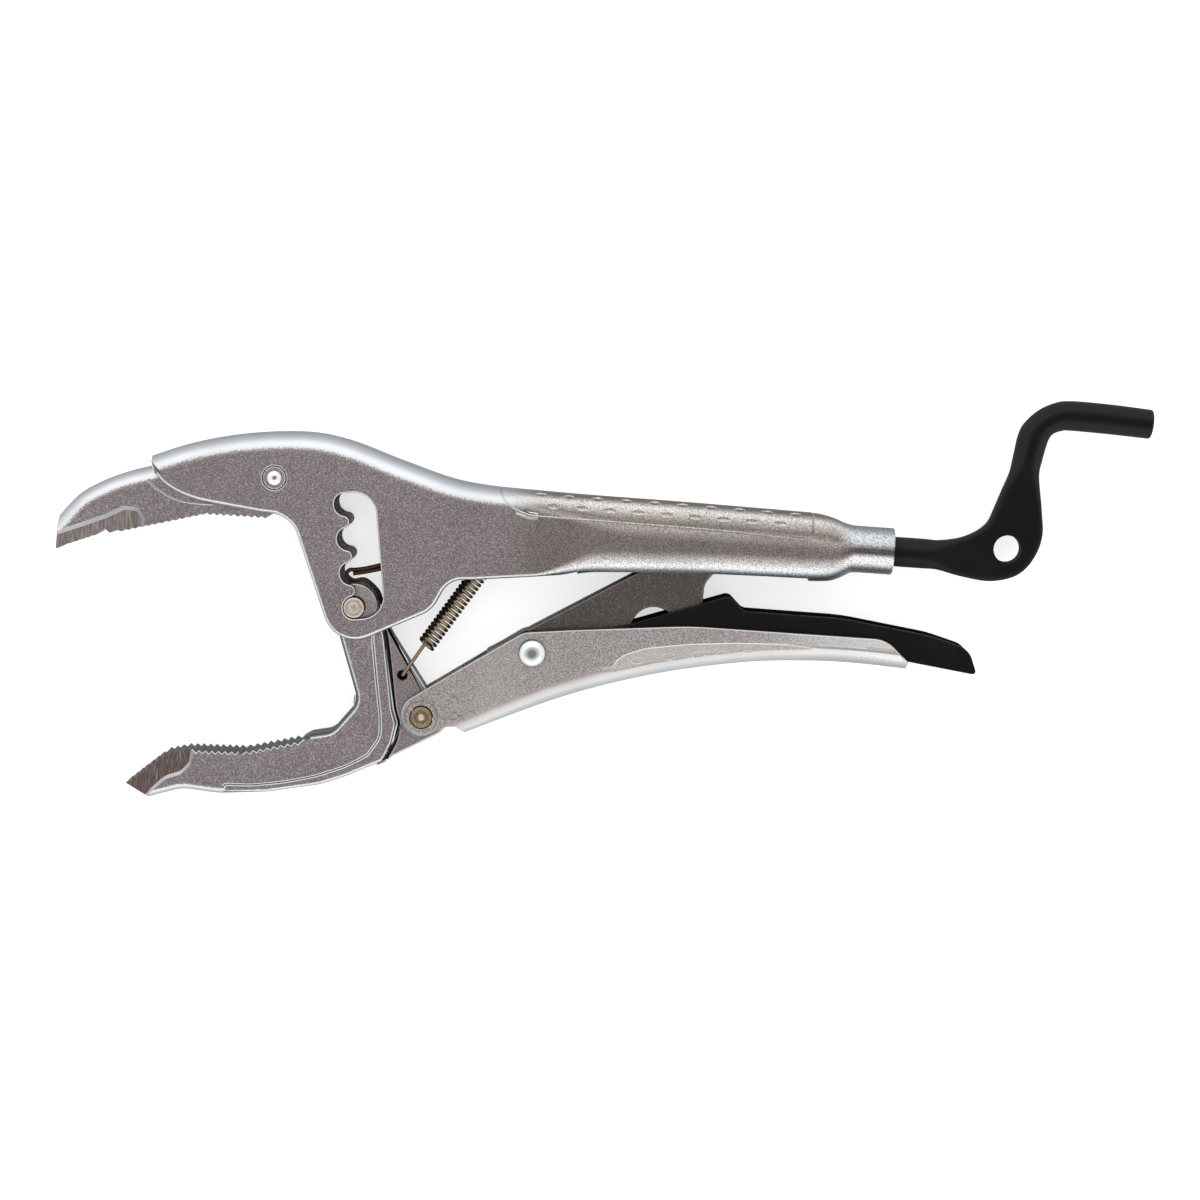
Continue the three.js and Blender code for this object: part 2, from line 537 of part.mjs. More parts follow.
// A coil with a hook at each end, as one curve.
class HookedCoil extends THREE.Curve {
  constructor(lowerHook, upperHook) {
    super();
    this.axis = SPRING_TOP.clone().sub(SPRING_BOTTOM);
    this.side = new THREE.Vector3(this.axis.y, -this.axis.x, 0).normalize();
    this.lower = new THREE.CatmullRomCurve3([...lowerHook, this.coil(0)]);
    this.upper = new THREE.CatmullRomCurve3([this.coil(1), ...upperHook]);
    this.hookShare = 0.07;
  }

  coil(t) {
    const angle = 2 * Math.PI * SPRING_TURNS * t;
    return SPRING_BOTTOM.clone()
      .addScaledVector(this.axis, t)
      .addScaledVector(this.side, SPRING_RADIUS * Math.cos(angle))
      .add(new THREE.Vector3(0, 0, SPRING_RADIUS * Math.sin(angle)));
  }

  getPoint(t) {
    if (t < this.hookShare) return this.lower.getPoint(t / this.hookShare);
    if (t > 1 - this.hookShare) return this.upper.getPoint((t - 1 + this.hookShare) / this.hookShare);
    return this.coil((t - this.hookShare) / (1 - 2 * this.hookShare));
  }
}

function jawSpring() {
  const beside = JAW_WEB_WIDTH / 2 + SPRING_WIRE_RADIUS + GAP;
  const { x: holeX, y: holeY } = SPRING_HOLE;
  const { x: pinX, y: pinY } = SPRING_ANCHOR;
  const around = ANCHOR_PIN_RADIUS + SPRING_WIRE_RADIUS + GAP;
  const lowerHook = [[holeX, holeY, 0.5], [holeX, holeY, beside - 0.6], [holeX + 1, holeY + 1.5, beside], [holeX + 5, holeY + 7.4, beside - 0.6]];
  const upperHook = [[pinX + around, pinY - 0.8, 1.2], [pinX + around * 0.8, pinY + around * 0.7, 0.2], [pinX - 0.6, pinY + around, -0.6]];
  const points = (hook) => hook.map(([x, y, z]) => new THREE.Vector3(x, y, z));
  return bar(new HookedCoil(points(lowerHook), points(upperHook)), SPRING_WIRE_RADIUS, 10 * SPRING_TURNS, 6);
}

// ---- The tool -------------------------------------------------------------------------------------

const tool = new THREE.Group();
tool.add(
  part('body_shell', bodyShell(), SATIN_NICKEL),
  part('upper_jaw', upperJaw(), SATIN_NICKEL),
  part('upper_jaw_rivet', upperJawRivet(), SATIN_NICKEL),
  part('spring_anchor_pin', springAnchorPin(), PALE_STEEL),
  part('jaw_pivot_pin', jawPivotPin(), PALE_STEEL),
  part('pivot_washer_near', pivotWasher(WASHER_INSIDE, WASHER_OUTSIDE), SATIN_NICKEL),
  part('pivot_washer_far', pivotWasher(-WASHER_OUTSIDE, -WASHER_INSIDE), SATIN_NICKEL),
  part('lower_jaw', lowerJaw(), SATIN_NICKEL),
  part('keeper_wire', keeperWire(), SPRING_STEEL),
  part('front_rivet', frontRivet(), YELLOW_ZINC),
  part('lower_handle', lowerHandle(), SATIN_NICKEL),
  part('link_rivet', linkRivet(), BRIGHT_ZINC),
  part('toggle_link', toggleLink(), GUNMETAL),
  part('release_lever', releaseLever(), BLACK_GLOSS),
  part('jaw_spring', jawSpring(), SPRING_STEEL),
  part('thrust_cap', thrustCap(), PALE_STEEL),
  part('crank_screw', crankScrew(), BLACK_OXIDE),
  part('screw_stop_ring', screwStopRing(), SPRING_STEEL),
);

const box = new THREE.Box3().setFromObject(tool);
tool.position.set(-(box.min.x + box.max.x) / 2, -(box.min.y + box.max.y) / 2, -box.min.z);

export default tool;
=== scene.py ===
"""Large-mouth locking pliers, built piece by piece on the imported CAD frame."""

import math

import bmesh
import bpy
from mathutils import Matrix, Vector, geometry


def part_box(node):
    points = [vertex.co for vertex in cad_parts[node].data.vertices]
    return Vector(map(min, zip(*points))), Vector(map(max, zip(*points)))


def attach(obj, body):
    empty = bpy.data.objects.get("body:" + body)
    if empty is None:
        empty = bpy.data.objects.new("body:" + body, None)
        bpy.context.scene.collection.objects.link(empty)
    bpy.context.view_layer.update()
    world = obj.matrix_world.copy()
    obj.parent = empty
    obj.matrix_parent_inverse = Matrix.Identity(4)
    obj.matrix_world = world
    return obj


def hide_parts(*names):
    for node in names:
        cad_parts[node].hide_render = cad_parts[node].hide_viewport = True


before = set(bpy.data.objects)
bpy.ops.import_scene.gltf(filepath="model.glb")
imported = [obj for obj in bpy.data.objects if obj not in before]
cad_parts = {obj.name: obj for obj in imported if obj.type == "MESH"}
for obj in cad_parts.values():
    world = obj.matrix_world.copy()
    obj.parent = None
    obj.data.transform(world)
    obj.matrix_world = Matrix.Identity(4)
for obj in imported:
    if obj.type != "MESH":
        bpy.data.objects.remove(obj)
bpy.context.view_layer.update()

bl_info = {
    "name": "Locking Pliers",
    "version": (1, 0, 0),
    "blender": (4, 5, 0),
    "location": "View3D > Sidebar > Pliers",
    "description": "Locking pliers with a slotted jaw pivot and a crank on the adjusting screw",
    "category": "Object",
}

# ---- Where things are ---------------------------------------------------------------------------
# Every piece is drawn in millimetres, with x along the adjusting screw towards the crank, y towards
# the back of the body and z through the thickness, zero on the middle plane. DRAWING carries that
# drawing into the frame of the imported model.

PIVOT = Vector((0, -29.7))
FRONT_PIVOT = Vector((24, -64.7))
LINK_PIVOT = Vector((59.1, -40.5))
JAW_RIVET = Vector((-28.2, 10.9))
SPRING_HOLE = Vector((16.8, -51.6))
SPRING_ANCHOR = Vector((48, -7))
CRANK_HOLE = Vector((212.2, 3.5))

PIN_LOW, PIN_HIGH = (Vector(corner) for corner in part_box("jaw_pivot_pin"))
DRAWING = (
    Matrix.Translation((PIN_LOW + PIN_HIGH) / 2)
    @ Matrix.Scale(0.001, 4)
    @ Matrix.Translation((-PIVOT.x, -PIVOT.y, 0))
)

HALF = 9.5  # half the width of body and handle
BODY_SHEET = 2.5
HANDLE_SHEET = 2.4
LEVER_SHEET = 1.5
BACK_RADIUS = 6.5  # outer rounding of the folded sheet along the back
JAW_RIVET_HOLE = 3.3  # radii of the holes
FRONT_RIVET_HOLE = 3.9
LINK_RIVET_HOLE = 3.6
PIVOT_HOLE = 3.7
CLEAR = 20  # height at which a cutter ends, clear of the tool
ARC_STEP = math.radians(7)  # angle between neighbouring points on a rounded corner
SHARP = math.radians(34)  # edges steeper than this stay crisp

BACK = [
    (-69.9, 14.7), (-56.6, 19.9), (-39.5, 24.1), (-19.9, 26.1), (-5.1, 24.4), (15, 18.2), (35, 13.2),
    (64.6, 11.9), (104, 11.6), (150, 10.9),
]
GRIP_EDGE = [(63.7, -14.9), (112, -12.3), (153, -11.4)]
HANDLE_BOTTOM = [
    (38.2, -69.4), (69.1, -55.3), (98.8, -45.6), (128.6, -39.5), (150.6, -37.5), (165.8, -37.3),
    (181.6, -38),
]


# ---- Mesh helpers -------------------------------------------------------------------------------

def smooth(points, spans):
    """Points along a smooth curve that goes through all of the given ones."""
    knots = [Vector(point).to_3d() for point in points]
    last = len(knots) - 1
    curve = []
    for i in range(last):
        before, start, end, after = (knots[max(0, min(last, k))] for k in (i - 1, i, i + 1, i + 2))
        leave, arrive = start + (end - before) / 6, end - (after - start) / 6
        piece = geometry.interpolate_bezier(start, leave, arrive, end, spans + 1)
        curve += piece if i == last - 1 else piece[:-1]
    return curve


def flat(points):
    """The (x, y) pairs of a row of points."""
    return [(point.x, point.y) for point in points]


def at(points, x):
    """Height of a left-to-right line of points at x."""
    for (x0, y0), (x1, y1) in zip(points, points[1:]):
        if x0 <= x <= x1:
            return y0 + (y1 - y0) * (x - x0) / (x1 - x0)
    return points[0][1] if x < points[0][0] else points[-1][1]


def ease(low, high, x):
    """0 before low, 1 after high, and a soft step between them."""
    share = max(0.0, min(1.0, (x - low) / (high - low)))
    return share * share * (3 - 2 * share)


BACK_LINE = flat(smooth(BACK, 8))
GRIP_LINE = flat(smooth(GRIP_EDGE, 8))
BOTTOM_LINE = flat(smooth(HANDLE_BOTTOM, 8))


def face_outline(bm, corners, z):
    """A flat face whose corners are (x, y) or (x, y, radius); a radius rounds its corner."""
    places = [Vector((corner[0], corner[1], z)) for corner in corners]
    verts = [bm.verts.new(place) for place in places]
    bm.faces.new(verts)
    for i, corner in enumerate(corners):
        if len(corner) < 3 or corner[2] == 0:
            continue
        before = (places[i - 1] - places[i]).normalized()
        after = (places[(i + 1) % len(places)] - places[i]).normalized()
        angle = before.angle(after)
        bmesh.ops.bevel(
            bm, geom=[verts[i]], offset=corner[2] / math.tan(angle / 2), offset_type="OFFSET",
            segments=max(2, math.ceil((math.pi - angle) / ARC_STEP)), profile=0.5,
            affect="VERTICES", material=-1,
        )
    bmesh.ops.remove_doubles(bm, verts=bm.verts, dist=0.002)


def plate(corners, low, high):
    """A solid plate of that outline, from one height to the other."""
    bm = bmesh.new()
    face_outline(bm, corners, low)
    made = bmesh.ops.extrude_face_region(bm, geom=bm.faces[:])["geom"]
    top = [item for item in made if isinstance(item, bmesh.types.BMVert)]
    bmesh.ops.translate(bm, verts=top, vec=(0, 0, high - low))
    bmesh.ops.recalc_face_normals(bm, faces=bm.faces)
    return bm


def bevel(bm, chosen, radius, segments):
    """Rounds the edges that the test picks."""
    edges = [edge for edge in bm.edges if chosen(edge)]
    bmesh.ops.bevel(
        bm, geom=edges, offset=radius, offset_type="OFFSET", segments=segments, profile=0.5,
        affect="EDGES", material=-1, clamp_overlap=False, loop_slide=True,
    )
    return bm


def on_level(edge):
    """Whether an edge lies level, and not through the thickness."""
    return abs(edge.verts[0].co.z - edge.verts[1].co.z) < 0.01


def along(points):
    """Picks the edges of a plate that run along a line of points."""
    known = {(round(x, 1), round(y, 1)) for x, y in points}

    def chosen(edge):
        return on_level(edge) and all((round(v.co.x, 1), round(v.co.y, 1)) in known for v in edge.verts)

    return chosen


def off_leg(point, start, end):
    """Distance of a point from the straight piece between two others."""
    share = max(0.0, min(1.0, (point - start).dot(end - start) / (end - start).length_squared))
    return (start + (end - start) * share - point).length


def steep(angle, where):
    """Picks the edges between faces at a steep angle, where the middle of the edge passes a test."""
    limit = math.radians(angle)

    def chosen(edge):
        if len(edge.link_faces) != 2 or edge.calc_face_angle() < limit:
            return False
        return where((edge.verts[0].co + edge.verts[1].co) / 2)

    return chosen


def loft(rings):
    """A closed skin over a row of rings that have the same number of points."""
    rows, columns = len(rings), len(rings[0])
    bm = bmesh.new()
    bmesh.ops.create_grid(bm, x_segments=rows - 1, y_segments=columns, size=1)
    for vert in bm.verts:
        row = round((vert.co.x + 1) / 2 * (rows - 1))
        column = round((vert.co.y + 1) / 2 * columns)
        vert.co = rings[row][column % columns]
    bmesh.ops.remove_doubles(bm, verts=bm.verts, dist=1e-5)
    bmesh.ops.holes_fill(bm, edges=[edge for edge in bm.edges if edge.is_boundary], sides=0)
    bmesh.ops.recalc_face_normals(bm, faces=bm.faces)
    return bm


def tube(route, radius, sides):
    """A round wire along a route."""
    points = [Vector(point) for point in route]
    turns = [2 * math.pi * k / sides for k in range(sides)]
    rings = []
    across = None
    for i, point in enumerate(points):
        ahead = (points[min(i + 1, len(points) - 1)] - points[max(i - 1, 0)]).normalized()
        if across is None:
            across = ahead.orthogonal().normalized()
        across = (across - ahead * across.dot(ahead)).normalized()
        other = ahead.cross(across)
        rings.append([
            point + radius * (across * math.cos(turn) + other * math.sin(turn)) for turn in turns
        ])
    return loft(rings)


def turned(profile, centre, axis="Z", steps=56):
    """A round solid from (radius, height) pairs, standing at a point or lying along the screw's axis."""
    bm = bmesh.new()
    verts = [bm.verts.new((radius, 0, height)) for radius, height in profile]
    edges = [bm.edges.new(pair) for pair in zip(verts, verts[1:])]
    bmesh.ops.spin(
        bm, geom=verts + edges, cent=(0, 0, 0), axis=(0, 0, 1), angle=2 * math.pi, steps=steps,
        use_merge=True,
    )
    bmesh.ops.remove_doubles(bm, verts=bm.verts, dist=1e-4)
    bmesh.ops.holes_fill(bm, edges=[edge for edge in bm.edges if edge.is_boundary], sides=0)
    if axis == "X":
        bmesh.ops.rotate(bm, verts=bm.verts, cent=(0, 0, 0), matrix=Matrix.Rotation(math.pi / 2, 3, "Y"))
    bmesh.ops.translate(bm, verts=bm.verts, vec=(centre[0], centre[1], 0))
    bmesh.ops.recalc_face_normals(bm, faces=bm.faces)
    return bm


def flared(corners, reach, radius, steps=4):
    """A cutter for an opening right through the tool, whose two rims are rounded."""
    bm = bmesh.new()
    face_outline(bm, corners, 0)
    bmesh.ops.remove_doubles(bm, verts=bm.verts, dist=0.05)
    bm.faces.ensure_lookup_table()
    points = [loop.vert.co.copy() for loop in bm.faces[0].loops]
    way = math.copysign(1, bm.faces[0].normal.z)
    bm.free()
    outwards = []
    for i, _ in enumerate(points):
        ahead = (points[(i + 1) % len(points)] - points[i - 1]).normalized()
        outwards.append(Vector((ahead.y, -ahead.x, 0)) * way)
    turns = [math.pi / 2 * k / steps for k in range(steps + 1)]
    rim = [(reach - radius + radius * math.sin(turn), radius * (1 - math.cos(turn))) for turn in turns]
    levels = [*rim, (reach + 10, radius)]
    levels = [*((-height, spread) for height, spread in reversed(levels)), *levels]
    return loft([
        [point + out * spread + Vector((0, 0, height)) for point, out in zip(points, outwards)]
        for height, spread in levels
    ])


def drill(centre, radius, low=-30.0, high=30.0):
    """A cutter for a round hole."""
    return turned([(0, low), (radius, low), (radius, high), (0, high)], centre)


def together(*parts):
    """Several meshes as one."""
    whole = bmesh.new()
    for part in parts:
        mesh = bpy.data.meshes.new("part")
        part.to_mesh(mesh)
        part.free()
        whole.from_mesh(mesh)
        bpy.data.meshes.remove(mesh)
    return whole


def flipped(bm):
    """The mesh on the other side of the tool."""
    bmesh.ops.scale(bm, vec=(1, 1, -1), verts=bm.verts)
    bmesh.ops.reverse_faces(bm, faces=bm.faces)
    return bm


def mirrored(bm):
    """The mesh and its mirror image on the other side of the tool."""
    other = flipped(bm.copy())
    return together(bm, other)


def as_object(bm, name):
    """Puts a mesh in the scene as an object."""
    mesh = bpy.data.meshes.new(name)
    bm.to_mesh(mesh)
    bm.free()
    piece = bpy.data.objects.new(name, mesh)
    bpy.context.scene.collection.objects.link(piece)
    return piece


def modified(bm, kind, **settings):
    """The mesh with a modifier applied."""
    piece = as_object(bm, "shaping")
    modifier = piece.modifiers.new(kind, kind)
    for key, value in settings.items():
        setattr(modifier, key, value)
    evaluated = piece.evaluated_get(bpy.context.evaluated_depsgraph_get())
    result = bpy.data.meshes.new_from_object(evaluated)
    made = bmesh.new()
    made.from_mesh(result)
    bpy.data.meshes.remove(result)
    mesh = piece.data
    bpy.data.objects.remove(piece)
    bpy.data.meshes.remove(mesh)
    return made


def combined(bm, other, operation):
    """Two solids joined, cut or intersected."""
    tool = as_object(other, "cutter")
    made = modified(bm, "BOOLEAN", object=tool, operation=operation, solver="EXACT")
    mesh = tool.data
    bpy.data.objects.remove(tool)
    bpy.data.meshes.remove(mesh)
    bmesh.ops.remove_doubles(made, verts=made.verts, dist=0.002)
    bmesh.ops.dissolve_degenerate(made, dist=0.001, edges=made.edges)
    return made


def cut(bm, *tools):
    """A solid with cutters taken away from it, one after the other."""
    for tool in tools:
        bm = combined(bm, tool, "DIFFERENCE")
    return bm


def paint(bm, index, where):
    """Gives the faces whose middle and normal pass the test another of the piece's finishes."""
    for face in bm.faces:
        if where(face.calc_center_median(), face.normal):
            face.material_index = index


# ---- Finishes -----------------------------------------------------------------------------------

def linear(hex_colour):
    """An sRGB hex colour as linear red, green, blue and alpha."""
    parts = [int(hex_colour[i:i + 2], 16) / 255 for i in (0, 2, 4)]
    light = [part / 12.92 if part <= 0.04045 else ((part + 0.055) / 1.055) ** 2.4 for part in parts]
    return (*light, 1.0)


def add(tree, kind, inputs=None, stops=(), **settings):
    """Adds a node with its settings, its inputs' values and links, and the stops of its colour ramp."""
    node = tree.nodes.new(kind)
    for i, (position, colour) in enumerate(stops):
        stop = node.color_ramp.elements[i] if i < 2 else node.color_ramp.elements.new(position)
        stop.position, stop.color = position, linear(colour)
    for key, value in settings.items():
        setattr(node, key, value)
    for key, value in (inputs or {}).items():
        if isinstance(value, bpy.types.NodeSocket):
            tree.links.new(value, node.inputs[key])
        else:
            node.inputs[key].default_value = value
    return node


def per_mm(size):
    """Noise scale whose features are about this many millimetres across."""
    return 1000 / size


def new_material(name):
    """A material without nodes, and its node tree."""
    material = bpy.data.materials.new(name)
    material.use_nodes = True
    tree = material.node_tree
    tree.nodes.clear()
    return material, tree


# Painted reflection on plated steel: tones from the outline of a rounding to the flat side beside it,
# silver where the surface rounds over, with a painted dark line just before the flat side.
SILVER_REFLECTION = [
    (0.0, "9a9fa7"), (0.3, "adb1b8"), (0.65, "c9ccd1"), (0.9, "dadcdf"), (0.965, "d0d0d1"),
    (0.985, "675c58"),
]
# Painted shade for walls in the shade of the tool: blue-grey, with a painted highlight along the rounding
# and a painted dark line before the flat side.
SHADED_SILVER = [
    (0.0, "50585d"), (0.5, "5c656b"), (0.86, "7a8388"), (0.93, "e6e9eb"), (0.97, "c9c9ca"),
    (0.985, "675c58"),
]
# Painted reflection on the handle's roundings; on the panel, a painted dark line of shade also outlines
# its rim and its dimples.
HANDLE_REFLECTION = [(0.0, "adb0b5"), (0.4, "cdcfd2"), (0.8, "dcddde"), (0.93, "bdb9b6")]
PANEL_REFLECTION_AND_SHADE = [(0.0, "adb0b5"), (0.8, "dcddde"), (0.94, "d0cdcc"), (0.972, "938d8a")]

# Painted light and shade round the grip, the tail tube and the open end of the handle: bright and dark
# bands set by the way the surface faces, from the underside (0) over the side (0.5) to the back (1).
GRIP_PAINTED_LIGHT = [
    (0.0, "70787f"), (0.1, "bcc3c8"), (0.225, "eceeef"), (0.33, "c0bbb8"), (0.5, "736c69"),
    (0.5875, "a59e9a"), (0.66, "766e69"), (0.775, "b7b1ac"), (0.845, "dcd9d5"), (0.94, "837b75"),
    (1.0, "69625d"),
]
TUBE_PAINTED_LIGHT = [
    (0.0, "79818a"), (0.12, "dfe2e5"), (0.36, "e2e2e2"), (0.46, "5a5351"), (0.55, "5a5351"),
    (0.66, "bcbdbe"), (0.85, "cdd2d6"), (1.0, "848a90"),
]
OPEN_END_PAINTED_LIGHT = [(0.0, "b4b7bb"), (0.25, "e0e1e2"), (0.5, "cbc9c7"), (0.75, "d8d9da"), (1.0, "a5a8ac")]

GRAIN = 0.42  # millimetres; a blasted surface is finer, but its grain would be too small to see
GRAIN_RANGE = {"From Min": 0.38, "From Max": 0.62}  # values between which nearly all of the grain lies
LINE_STRETCH = 0.06  # how far ground lines are drawn out
PATCH_SIZE = 22  # millimetres across a paler or darker patch of the plating
PATCH_RANGE = {"From Min": 0.3, "From Max": 0.7}
PATCH_CONTRAST = 0.06
COAT_GRAIN = 0.7  # millimetres; paint and oxide are finer too
COAT_PATCH = 14
WORN_COAT = "3a3836"
COAT_SPECULAR = 0.1


def metal(
    name, face, tones, roughness=(0.34, 0.42), reach=(0.975, 0.998), contrast=0.9, bump=0.03,
    ragged=0.02, lines=None, zones=(),
):
    """A metal with a fine grain on its flat sides, which fades where the surface rounds over, and a
    painted reflection there instead.

    The tones paint that reflection by the lean of the surface; the face colour takes over from them where
    the lean of the surface is within reach. With lines set to the direction of grinding, the grain is
    drawn out along it. A zone holds tones of painted light and shade, set by the way the surface faces
    towards the underside or the back, the share of the grain that is kept, and the two values of x
    between which they take over."""
    material, tree = new_material(name)
    coordinates = add(tree, "ShaderNodeTexCoord")
    position = coordinates.outputs["Object"]
    normal = add(tree, "ShaderNodeSeparateXYZ", {"Vector": coordinates.outputs["Normal"]})
    drawn_out = position
    if lines:
        drawn_out = add(
            tree, "ShaderNodeMapping",
            {"Vector": position, "Rotation": (0, 0, lines), "Scale": (1, LINE_STRETCH, 1)},
        ).outputs[0]
    fine = add(
        tree, "ShaderNodeTexNoise",
        {"Vector": drawn_out, "Scale": per_mm(GRAIN), "Detail": 2.0, "Roughness": 0.7},
    ).outputs["Fac"]
    broad = add(
        tree, "ShaderNodeTexNoise", {"Vector": position, "Scale": per_mm(PATCH_SIZE), "Detail": 2.0},
    ).outputs["Fac"]
    facing = add(tree, "ShaderNodeMath", {0: normal.outputs["Z"]}, operation="ABSOLUTE").outputs[0]
    fringe = add(
        tree, "ShaderNodeMapRange", {"Value": fine, **GRAIN_RANGE, "To Min": -ragged, "To Max": ragged},
    ).outputs[0]
    facing = add(
        tree, "ShaderNodeMath", {0: facing, 1: fringe}, operation="ADD", use_clamp=True,
    ).outputs[0]
    # Painted reflection: the tones colour the surface by how far it leans from the flat side.
    edge = add(tree, "ShaderNodeValToRGB", {"Fac": facing}, stops=tones).outputs["Color"]
    grained = add(
        tree, "ShaderNodeMapRange", {"Value": facing, "From Min": reach[0], "From Max": reach[1]},
        interpolation_type="SMOOTHSTEP",
    ).outputs[0]
    colour = add(
        tree, "ShaderNodeMix", {"Factor": grained, "A": edge, "B": face}, data_type="RGBA",
    ).outputs["Result"]
    # Painted light and shade: in each zone the colour follows which way the surface faces.
    for zone_painted_light, kept, *span in zones:
        start, end = ((DRAWING @ Vector((x, 0, 0))).x for x in span)
        tilt = add(
            tree, "ShaderNodeMapRange", {"Value": normal.outputs["Y"], "From Min": -1.0},
        ).outputs[0]
        zone_painted_colour = add(tree, "ShaderNodeValToRGB", {"Fac": tilt}, stops=zone_painted_light).outputs["Color"]
        along_tool = add(tree, "ShaderNodeSeparateXYZ", {"Vector": position}).outputs["X"]
        share = add(
            tree, "ShaderNodeMapRange", {"Value": along_tool, "From Min": start, "From Max": end},
            interpolation_type="SMOOTHSTEP",
        ).outputs[0]
        colour = add(
            tree, "ShaderNodeMix", {"Factor": share, "A": colour, "B": zone_painted_colour}, data_type="RGBA",
        ).outputs["Result"]
        grained = add(
            tree, "ShaderNodeMix", {"Factor": share, "A": grained, "B": kept}, data_type="FLOAT",
        ).outputs[0]
    tone = add(
        tree, "ShaderNodeMapRange",
        {"Value": fine, **GRAIN_RANGE, "To Min": 1 - contrast, "To Max": 1 + contrast},
    ).outputs[0]
    tone = add(
        tree, "ShaderNodeMix", {"Factor": grained, "A": 1.0, "B": tone}, data_type="FLOAT",
    ).outputs[0]
    wide = add(
        tree, "ShaderNodeMapRange",
        {"Value": broad, **PATCH_RANGE, "To Min": 1 - PATCH_CONTRAST, "To Max": 1 + PATCH_CONTRAST},
    ).outputs[0]
    tone = add(tree, "ShaderNodeMath", {0: tone, 1: wide}, operation="MULTIPLY").outputs[0]
    toned = add(tree, "ShaderNodeVectorMath", {0: colour, "Scale": tone}, operation="SCALE").outputs[0]
    gloss = add(
        tree, "ShaderNodeMapRange", {"Value": grained, "To Min": roughness[0], "To Max": roughness[1]},
    ).outputs[0]
    relief = add(
        tree, "ShaderNodeBump", {"Strength": 0.6, "Distance": bump / 1000, "Height": fine},
    ).outputs[0]
    shader = add(
        tree, "ShaderNodeBsdfPrincipled",
        {"Base Color": toned, "Metallic": 1.0, "Roughness": gloss, "Normal": relief},
    )
    add(tree, "ShaderNodeOutputMaterial", {"Surface": shader.outputs[0]})
    return material


def coated(name, face, rounded, roughness, bump):
    """A dark coating on steel, with a painted sheen that makes it paler where it is rounded, a faint
    texture and worn high spots.
    """
    material, tree = new_material(name)
    coordinates = add(tree, "ShaderNodeTexCoord")
    position = coordinates.outputs["Object"]
    fine = add(
        tree, "ShaderNodeTexNoise",
        {"Vector": position, "Scale": per_mm(COAT_GRAIN), "Detail": 2.0, "Roughness": 0.6},
    ).outputs["Fac"]
    broad = add(
        tree, "ShaderNodeTexNoise", {"Vector": position, "Scale": per_mm(COAT_PATCH), "Detail": 3.0},
    ).outputs["Fac"]
    normal = add(tree, "ShaderNodeSeparateXYZ", {"Vector": coordinates.outputs["Normal"]})
    facing = add(tree, "ShaderNodeMath", {0: normal.outputs["Z"]}, operation="ABSOLUTE").outputs[0]
    # Painted sheen: the rounded parts take the paler colour.
    side = add(
        tree, "ShaderNodeMapRange", {"Value": facing, "From Min": 0.9, "From Max": 0.995},
    ).outputs[0]
    base = add(
        tree, "ShaderNodeMix", {"Factor": side, "A": linear(rounded), "B": face}, data_type="RGBA",
    ).outputs["Result"]
    worn = add(
        tree, "ShaderNodeMapRange", {"Value": broad, "From Min": 0.5, "From Max": 0.8, "To Max": 0.15},
    ).outputs[0]
    colour = add(
        tree, "ShaderNodeMix", {"Factor": worn, "A": base, "B": linear(WORN_COAT)}, data_type="RGBA",
    ).outputs["Result"]
    gloss = add(
        tree, "ShaderNodeMapRange",
        {"Value": broad, **PATCH_RANGE, "To Min": roughness - 0.05, "To Max": roughness + 0.07},
    ).outputs[0]
    relief = add(
        tree, "ShaderNodeBump", {"Strength": 0.5, "Distance": bump / 1000, "Height": fine},
    ).outputs[0]
    shader = add(
        tree, "ShaderNodeBsdfPrincipled",
        {"Base Color": colour, "Roughness": gloss, "Specular IOR Level": COAT_SPECULAR, "Normal": relief},
    )
    add(tree, "ShaderNodeOutputMaterial", {"Surface": shader.outputs[0]})
    return material


FINISHES = {}


